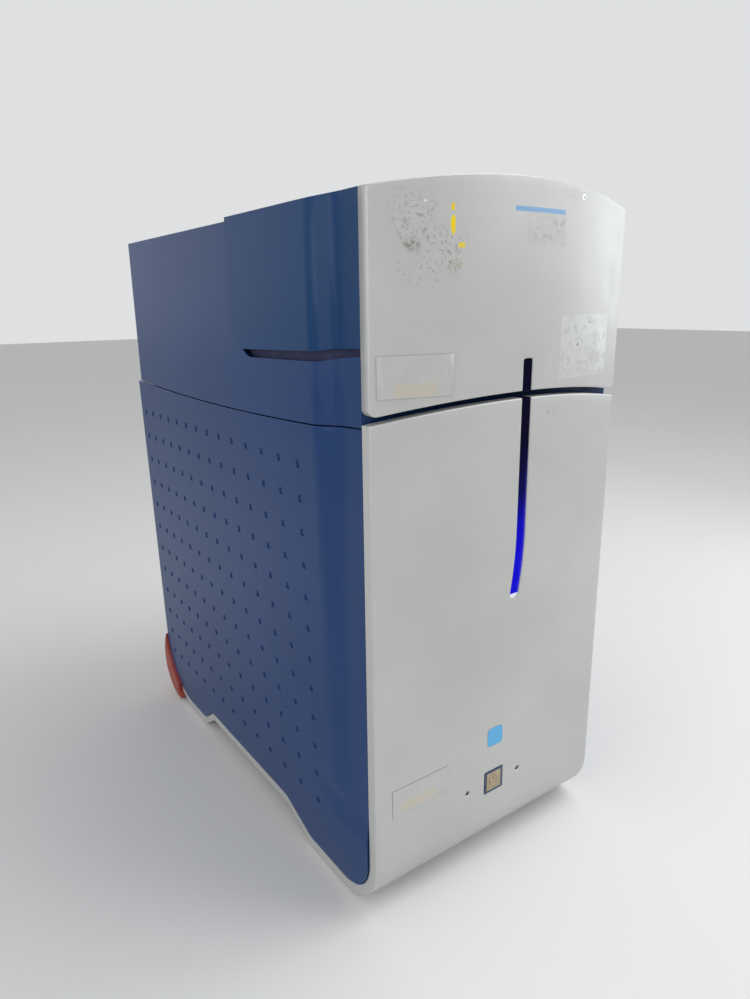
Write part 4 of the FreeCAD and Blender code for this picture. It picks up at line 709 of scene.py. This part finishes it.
def silver_panel(name, rows, body, replaced, holes=()):
    columns = panel_columns()
    verts, faces = [], []
    for side in (-1, 1):
        offset = len(verts)
        open_rows = []
        for row in rows:
            level = row_point(row, 0.0)[1]
            reach = slit_reach(level) if row[0] != "bend" else 0.0
            in_slit = row[0] == "cap" or row[0] != "bend" and SLIT_FOOT - 1e-9 <= level <= SLIT_TOP + 1e-9
            open_rows.append(in_slit)
            for column in columns:
                x = column_x(column, row_half(row), reach)
                back, level_here, in_back, in_level, depth = row_point(row, x)
                wall = column[2] if column[0] != "wall" else (SLIT_WALL if in_slit else 0.0)
                rim = slit_depth(x, level_here) if row[0] != "bend" else 0.0
                total = min(max(depth, 0.0) + wall + rim, PANEL_DEPTH)
                stand = bulge(x, level_here)
                verts.append((side * x, FRONT + back + in_back * total - stand, level_here + in_level * total))
        count = len(columns)

        def skip(row, column):
            return column == count - 2 and not (open_rows[row] and open_rows[row + 1])

        for face in grid_faces(len(rows), count, side > 0, skip):
            faces.append(tuple(index + offset for index in face))
    return add_piece(name, verts, faces, SILVER, body, replaced, SHEET, (0, -1, 0), holes)


BEZEL_LOW, BEZEL_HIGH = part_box("button_bezel")
WINDOW_LOW, WINDOW_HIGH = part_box("indicator_windows")
WINDOW_RADIUS = (WINDOW_HIGH.z - WINDOW_LOW.z) / 2
WINDOW_SPREAD = WINDOW_HIGH.x - WINDOW_RADIUS
WINDOW_LEVEL = (WINDOW_HIGH.z + WINDOW_LOW.z) / 2
BUTTON_LEVEL = (BEZEL_HIGH.z + BEZEL_LOW.z) / 2
FRONT_HOLES = [
    round_hole(-WINDOW_SPREAD, WINDOW_LEVEL, WINDOW_RADIUS + 0.05 * MM, 1.3 * MM),
    round_hole(WINDOW_SPREAD, WINDOW_LEVEL, WINDOW_RADIUS + 0.05 * MM, 1.3 * MM),
    square_hole(0.0, BUTTON_LEVEL, BEZEL_HIGH.x + 0.1 * MM, 1.2 * MM, 1.2 * MM),
]
lower_panel = silver_panel("lower_panel_skin", panel_rows_lower(), "cabinet", ["lower_front_panel"], FRONT_HOLES)
upper_panel = silver_panel("hood_panel_skin", panel_rows_upper(), "hood", ["upper_front_panel"])


# Dark tips that carry the light guide on to the seam, one each side of it

TIP_INSET = 1.2 * MM
TIP_DEPTH = 7.0 * MM
TIP_CLEARANCE = 0.15 * MM


def guide_tip(name, low, high, body):
    half = SLIT_HALF - TIP_CLEARANCE
    front = FRONT - bulge(0.0, low) + TIP_INSET
    verts = [(x, y, z) for z in (low, high) for y in (front, front + TIP_DEPTH) for x in (-half, half)]
    faces = [(0, 1, 5, 4), (2, 3, 7, 6), (0, 2, 6, 4), (1, 3, 7, 5), (0, 1, 3, 2), (4, 5, 7, 6)]
    tip = add_piece(name, verts, faces, GUIDE, body)
    tip.data.set_sharp_from_angle(angle=math.radians(35))


guide_tip("guide_tip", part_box("light_guide")[1].z, LOWER_SEAM + SEAM_RISE - TIP_CLEARANCE, "cabinet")
guide_tip("hood_guide_tip", UPPER_SEAM + SEAM_RISE + TIP_CLEARANCE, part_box("hood_light_guide")[0].z, "hood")


# Blue side covers with their grid of small square dimples

def eased_rise(back, start, end):
    """Rise of the recess line from start to end, straight between two arcs."""
    turn = math.atan2(RECESS_RISE, end - start)
    reach = RIM_BLEND * math.tan(turn / 2)
    first, last = back - start + reach, end + reach - back
    if first <= 0:
        return 0.0
    if last <= 0:
        return RECESS_RISE
    if first < RIM_BLEND * math.sin(turn):
        return RIM_BLEND - math.sqrt(RIM_BLEND ** 2 - first ** 2)
    if last < RIM_BLEND * math.sin(turn):
        return RECESS_RISE - RIM_BLEND + math.sqrt(RIM_BLEND ** 2 - last ** 2)
    return (back - start) * math.tan(turn)


def foot_level(back):
    """Height of the lower edge of the blue side."""
    low = FOOT + RIM + GROOVE
    if back < BEND:
        return low
    return low + eased_rise(back, *RAMP_BACK) - eased_rise(back, *STEP_BACK)


def seam_level(back):
    """Height of the sagging upper edge of the blue side."""
    half = (REAR_TOP_BACK - PANEL_DEPTH) / 2
    return SIDE_SEAM - SEAM_SAG * (1 - ((back - PANEL_DEPTH - half) / half) ** 2)


def front_edge(level):
    centre = FOOT + BEND
    radius = BEND - PANEL_DEPTH - GROOVE
    if level >= centre:
        return PANEL_DEPTH + GROOVE
    return BEND - math.sqrt(max(radius ** 2 - (centre - level) ** 2, 0.0))


def rear_edge(level):
    centre = FOOT + RIM + REAR_RADIUS
    if level < centre:
        return REAR_BACK - REAR_RADIUS + math.sqrt(max(REAR_RADIUS ** 2 - (centre - level) ** 2, 0.0))
    return REAR_BACK + (REAR_TOP_BACK - REAR_BACK) * (level - centre) / (SIDE_SEAM - centre)


def shoulder_share(back, level):
    """How far the plan outline has moved from the neck to the side: two tangent arcs and a slope."""
    shoulder = FOOT_SHOULDER_BACK + (SHOULDER_BACK - FOOT_SHOULDER_BACK) * level / SIDE_SEAM
    run = shoulder - NECK_BACK
    step = SIDE_TOP_HALF - HALF
    turn = math.atan2(step, run)
    reach = SHOULDER_EASE * math.hypot(run, step) / 2
    radius = reach / math.tan(turn / 2)
    start, end = NECK_BACK - reach, shoulder + reach
    if back <= start:
        return 0.0
    if back >= end:
        return 1.0
    if back < start + radius * math.sin(turn):
        return (radius - math.sqrt(radius ** 2 - (back - start) ** 2)) / step
    if back > end - radius * math.sin(turn):
        return 1 - (radius - math.sqrt(radius ** 2 - (end - back) ** 2)) / step
    return (back - NECK_BACK) * math.tan(turn) / step


SCOOP_BACK = 60.0 * MM
SCOOP_LEVEL = 98.0 * MM
SCOOP_DEPTH = 1.6 * MM


DIMPLE_BACKS = [DIMPLE_FIRST_BACK + n * DIMPLE_PITCH_BACK + DIMPLE_CROWDING * n * (DIMPLE_COLUMNS - 1 - n)
                for n in range(DIMPLE_COLUMNS)]
DIMPLE_LEVELS = [DIMPLE_TOP - n * DIMPLE_PITCH for n in range(DIMPLE_ROWS)]


def dimple(back, level):
    """Depth of the nearest dimple at a point of the side."""
    row = round((DIMPLE_TOP - level) / DIMPLE_PITCH)
    if not 0 <= row < DIMPLE_ROWS:
        return 0.0
    across = min(abs(back - centre) for centre in DIMPLE_BACKS) / DIMPLE_HALF
    up = abs(level - DIMPLE_TOP + row * DIMPLE_PITCH) / DIMPLE_HALF
    return DIMPLE_DEPTH * min(max((1 - max(across, up)) / DIMPLE_WALL, 0.0), 1.0)


def scoop(back, level):
    """Soft hollow where the shoulder band dies out above the front foot."""
    along = ((back - SCOOP_BACK) + 0.5 * (level - SCOOP_LEVEL)) / (26.0 * MM)
    across = ((level - SCOOP_LEVEL) - 0.5 * (back - SCOOP_BACK)) / (13.0 * MM)
    return SCOOP_DEPTH * math.exp(-(along ** 2 + across ** 2))


def side_half(back, level):
    """Half width of the lower blue side at a point."""
    side = SIDE_FOOT_HALF + (SIDE_TOP_HALF - SIDE_FOOT_HALF) * level / SIDE_SEAM
    neck = HALF + (side - HALF) * smooth_share((SCOOP_LEVEL + 10 * MM - level) / (34.0 * MM))
    return neck + (side - neck) * shoulder_share(back, level) - dimple(back, level) - scoop(back, level)


def grid_lines(centres, half):
    """Lines over a run of dimples: dense across each, one between."""
    lines = []
    for centre, following in zip(centres, centres[1:] + [None]):
        lines += [centre + half * share for share in DIMPLE_LINES]
        if following is not None:
            lines.append((centre + following) / 2)
    return lines


def side_cover(sign, name, node):
    backs = grid_lines(DIMPLE_BACKS, DIMPLE_HALF)
    for start, end, count in ((RAMP_BACK[0] - 6 * MM, RAMP_BACK[1] + 6 * MM, 14),
                              (STEP_BACK[0] - 8 * MM, STEP_BACK[1] + 8 * MM, 14)):
        for extra in spaced(start, end, count):
            if min(abs(extra - back) for back in backs) > 0.8 * MM:
                backs.append(extra)
    backs.sort()
    lead = [("return", 0.0)] + [("front", share) for share in [n / 10 for n in range(10)]]
    neck = [("back", BEND + (backs[0] - BEND) * n / 16) for n in range(16)]
    columns = lead + neck + [("back", back) for back in backs]
    columns += [("rear", share) for share in [n / 7 for n in range(1, 8)]]
    levels = grid_lines(DIMPLE_LEVELS, -DIMPLE_HALF)
    top_rows = [("top", 0.0, inset, depth) for inset, depth in [(0.0, COVER_WALL)] + roll(0.9 * MM)]
    top_rows += [("top", share, 0.9 * MM, 0.0) for share in spaced(0.0, 1.0, 6)]
    rows = top_rows + [("level", level, 0.0, 0.0) for level in levels]
    rows += [("low", share, 0.9 * MM, 0.0) for share in [n / 10 for n in range(1, 11)]]
    rows += [("low", 1.0, inset, depth) for inset, depth in roll(0.9 * MM)[::-1] + [(0.0, COVER_WALL)]]
    verts = []
    for kind, value, inset, depth in rows:
        for column_kind, column_value in columns:
            if column_kind == "back":
                back = column_value
            else:
                back = backs[-1] if column_kind == "rear" else BEND
            low = foot_level(back) + inset
            if column_kind == "rear" or back > REAR_BACK - REAR_RADIUS:
                centre = FOOT + RIM + REAR_RADIUS
                low = centre - math.sqrt(REAR_RADIUS ** 2 - (back - REAR_BACK + REAR_RADIUS) ** 2) + inset
            neck_start = PANEL_DEPTH + GROOVE
            on_neck = column_kind in ("front", "return")
            high = seam_level(neck_start + (BEND - neck_start) * column_value if on_neck else back)
            if kind == "top":
                start = high - inset
                level = start + (levels[0] - start) * value
            elif kind == "low":
                level = levels[-1] + (low - levels[-1]) * value
            else:
                level = value
            if on_neck:
                start = front_edge(level)
                back = start + (BEND - start) * column_value
            elif column_kind == "rear":
                back = backs[-1] + (rear_edge(level) - backs[-1]) * column_value
            half = side_half(back, level) - depth
            if column_kind == "return":
                half -= COVER_WALL
            verts.append((sign * half, FRONT + back, level))
    faces = grid_faces(len(rows), len(columns), sign > 0)
    cover = add_piece(name, verts, faces, BLUE, "cabinet", [node], COVER_WALL, (sign, 0, 0))
    cover.data.set_sharp_from_angle(angle=math.radians(35))
    return cover


left_side = side_cover(-1, "left_dimpled_side", "left_side_cover")
right_side = side_cover(1, "right_dimpled_side", "right_side_cover")


# Labels: blank films on the front

def dress_label(node, patch):
    low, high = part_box(node)
    patch_low = (low.x + patch[0] * (high.x - low.x), low.z + patch[1] * (high.z - low.z))
    patch_high = (low.x + patch[2] * (high.x - low.x), low.z + patch[3] * (high.z - low.z))
    dress(node, label_film(node + "_film", low, high, patch_low, patch_high), 0.0)


dress_label("upper_label", (0.22, 0.04, 0.76, 0.34))
dress_label("lower_label", (0.16, 0.14, 0.76, 0.42))


# Raised symbol on the button: an open ring with a bar in its gap

def power_symbol():
    low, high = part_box("power_button")
    middle = Vector(((low.x + high.x) / 2, low.y, (low.z + high.z) / 2))
    ring, tube = 5.4 * MM, 0.95 * MM
    paths = [[(ring * math.sin(angle), ring * math.cos(angle))
              for angle in [math.radians(38 + 284 * n / 40) for n in range(41)]],
             [(0.0, (1.6 + 5.4 * n / 6) * MM) for n in range(7)]]
    verts, faces = [], []
    for path in paths:
        start = len(verts)
        for number, (x, z) in enumerate(path):
            before, after = path[max(number - 1, 0)], path[min(number + 1, len(path) - 1)]
            along = Vector((after[0] - before[0], 0.0, after[1] - before[1])).normalized()
            aside = Vector((along.z, 0.0, -along.x))
            for n in range(10):
                angle = 2 * math.pi * n / 10
                verts.append(middle + Vector((x, 0.0, z)) + aside * (tube * math.cos(angle))
                             + Vector((0.0, 0.8 * tube * math.sin(angle), 0.0)))
        for number in range(len(path) - 1):
            for n in range(10):
                first, second = start + number * 10 + n, start + number * 10 + (n + 1) % 10
                faces.append((first, second, second + 10, first + 10))
        faces.append(tuple(start + n for n in range(10)))
        faces.append(tuple(start + (len(path) - 1) * 10 + n for n in range(10)))
    return add_piece("power_symbol", verts, faces, BUTTON, "button")


power_symbol()


# Stage: pale floor, soft studio light and the camera of the photograph

def stage_plane(name, corners, colour):
    mesh = bpy.data.meshes.new(name)
    mesh.from_pydata(corners, [], [(0, 1, 2, 3)])
    material, tree, shader = new_material(name + "_finish")
    tint = ramp(tree, noise(tree, 2.0), [(0.3, colour), (0.7, tuple(0.98 * c for c in colour))])
    tree.links.new(tint, shader.inputs["Base Color"])
    shader.inputs["Roughness"].default_value = 0.85
    mesh.materials.append(material)
    item = bpy.data.objects.new(name, mesh)
    bpy.context.scene.collection.objects.link(item)
    return item


FLOOR_REACH = 12.0
stage_plane("floor", [(-FLOOR_REACH, -FLOOR_REACH, 0), (FLOOR_REACH, -FLOOR_REACH, 0),
                      (FLOOR_REACH, FLOOR_REACH, 0), (-FLOOR_REACH, FLOOR_REACH, 0)], (0.80, 0.80, 0.79))

scene = bpy.context.scene
scene.view_settings.view_transform = "Standard"
world = bpy.data.worlds.new("soft_room")
scene.world = world
world.use_nodes = True
room = world.node_tree
background = room.nodes["Background"]
background.inputs["Color"].default_value = (0.86, 0.87, 0.88, 1.0)
path = room.nodes.new("ShaderNodeLightPath")
seen = room.nodes.new("ShaderNodeMath")
seen.operation = "MAXIMUM"
room.links.new(path.outputs["Is Camera Ray"], seen.inputs[0])
glossy = room.nodes.new("ShaderNodeMath")
glossy.operation = "MAXIMUM"
room.links.new(path.outputs["Is Glossy Ray"], glossy.inputs[0])
room.links.new(path.outputs["Is Transmission Ray"], glossy.inputs[1])
room.links.new(glossy.outputs["Value"], seen.inputs[1])
strength = room.nodes.new("ShaderNodeMapRange")
strength.inputs["To Min"].default_value = 0.62
strength.inputs["To Max"].default_value = 0.86
room.links.new(seen.outputs["Value"], strength.inputs["Value"])
room.links.new(strength.outputs["Result"], background.inputs["Strength"])


def area_light(name, at, towards, width, height, power, colour=(1.0, 1.0, 1.0)):
    lamp = bpy.data.lights.new(name, "AREA")
    lamp.shape = "RECTANGLE"
    lamp.size = width
    lamp.size_y = height
    lamp.energy = power
    lamp.color = colour
    item = bpy.data.objects.new(name, lamp)
    item.location = at
    item.rotation_euler = (Vector(towards) - Vector(at)).to_track_quat("-Z", "Y").to_euler()
    item.visible_camera = False
    scene.collection.objects.link(item)
    return item


MIDDLE = (0.0, 0.0, 0.33)
area_light("overhead", (0.85, -0.55, 2.1), MIDDLE, 1.3, 1.3, 17.0)
area_light("front_right", (1.2, -1.5, 1.25), MIDDLE, 1.0, 1.0, 4.6)
area_light("front_left", (-1.2, -1.75, 1.15), MIDDLE, 1.0, 1.0, 4.8)
area_light("right_window", (1.35, -0.5, 0.85), (0.12, -0.28, 0.6), 0.7, 0.8, 3.6, (0.94, 0.97, 1.0))
area_light("left", (-2.2, -0.4, 0.95), (-0.15, -0.21, 0.5), 1.2, 1.2, 8.0)

CAMERA_AT = Vector((-0.4604, -0.70795, 0.56515))
CAMERA_RIGHT = Vector((0.81455, -0.57995, -0.01286))
CAMERA_UP = Vector((0.16454, 0.20974, 0.96381))
PHOTO_HEIGHT = 999
FOCAL_PIXELS = 715.0
SENSOR = 36.0
camera_data = bpy.data.cameras.new("photo_camera")
camera_data.sensor_fit = "VERTICAL"
camera_data.sensor_height = SENSOR
camera_data.lens = FOCAL_PIXELS * SENSOR / PHOTO_HEIGHT
camera = bpy.data.objects.new("photo_camera", camera_data)
back_axis = CAMERA_RIGHT.cross(CAMERA_UP)
camera.matrix_world = Matrix.Translation(CAMERA_AT) @ Matrix(
    (CAMERA_RIGHT, CAMERA_UP, back_axis)).transposed().to_4x4()
scene.collection.objects.link(camera)
scene.camera = camera
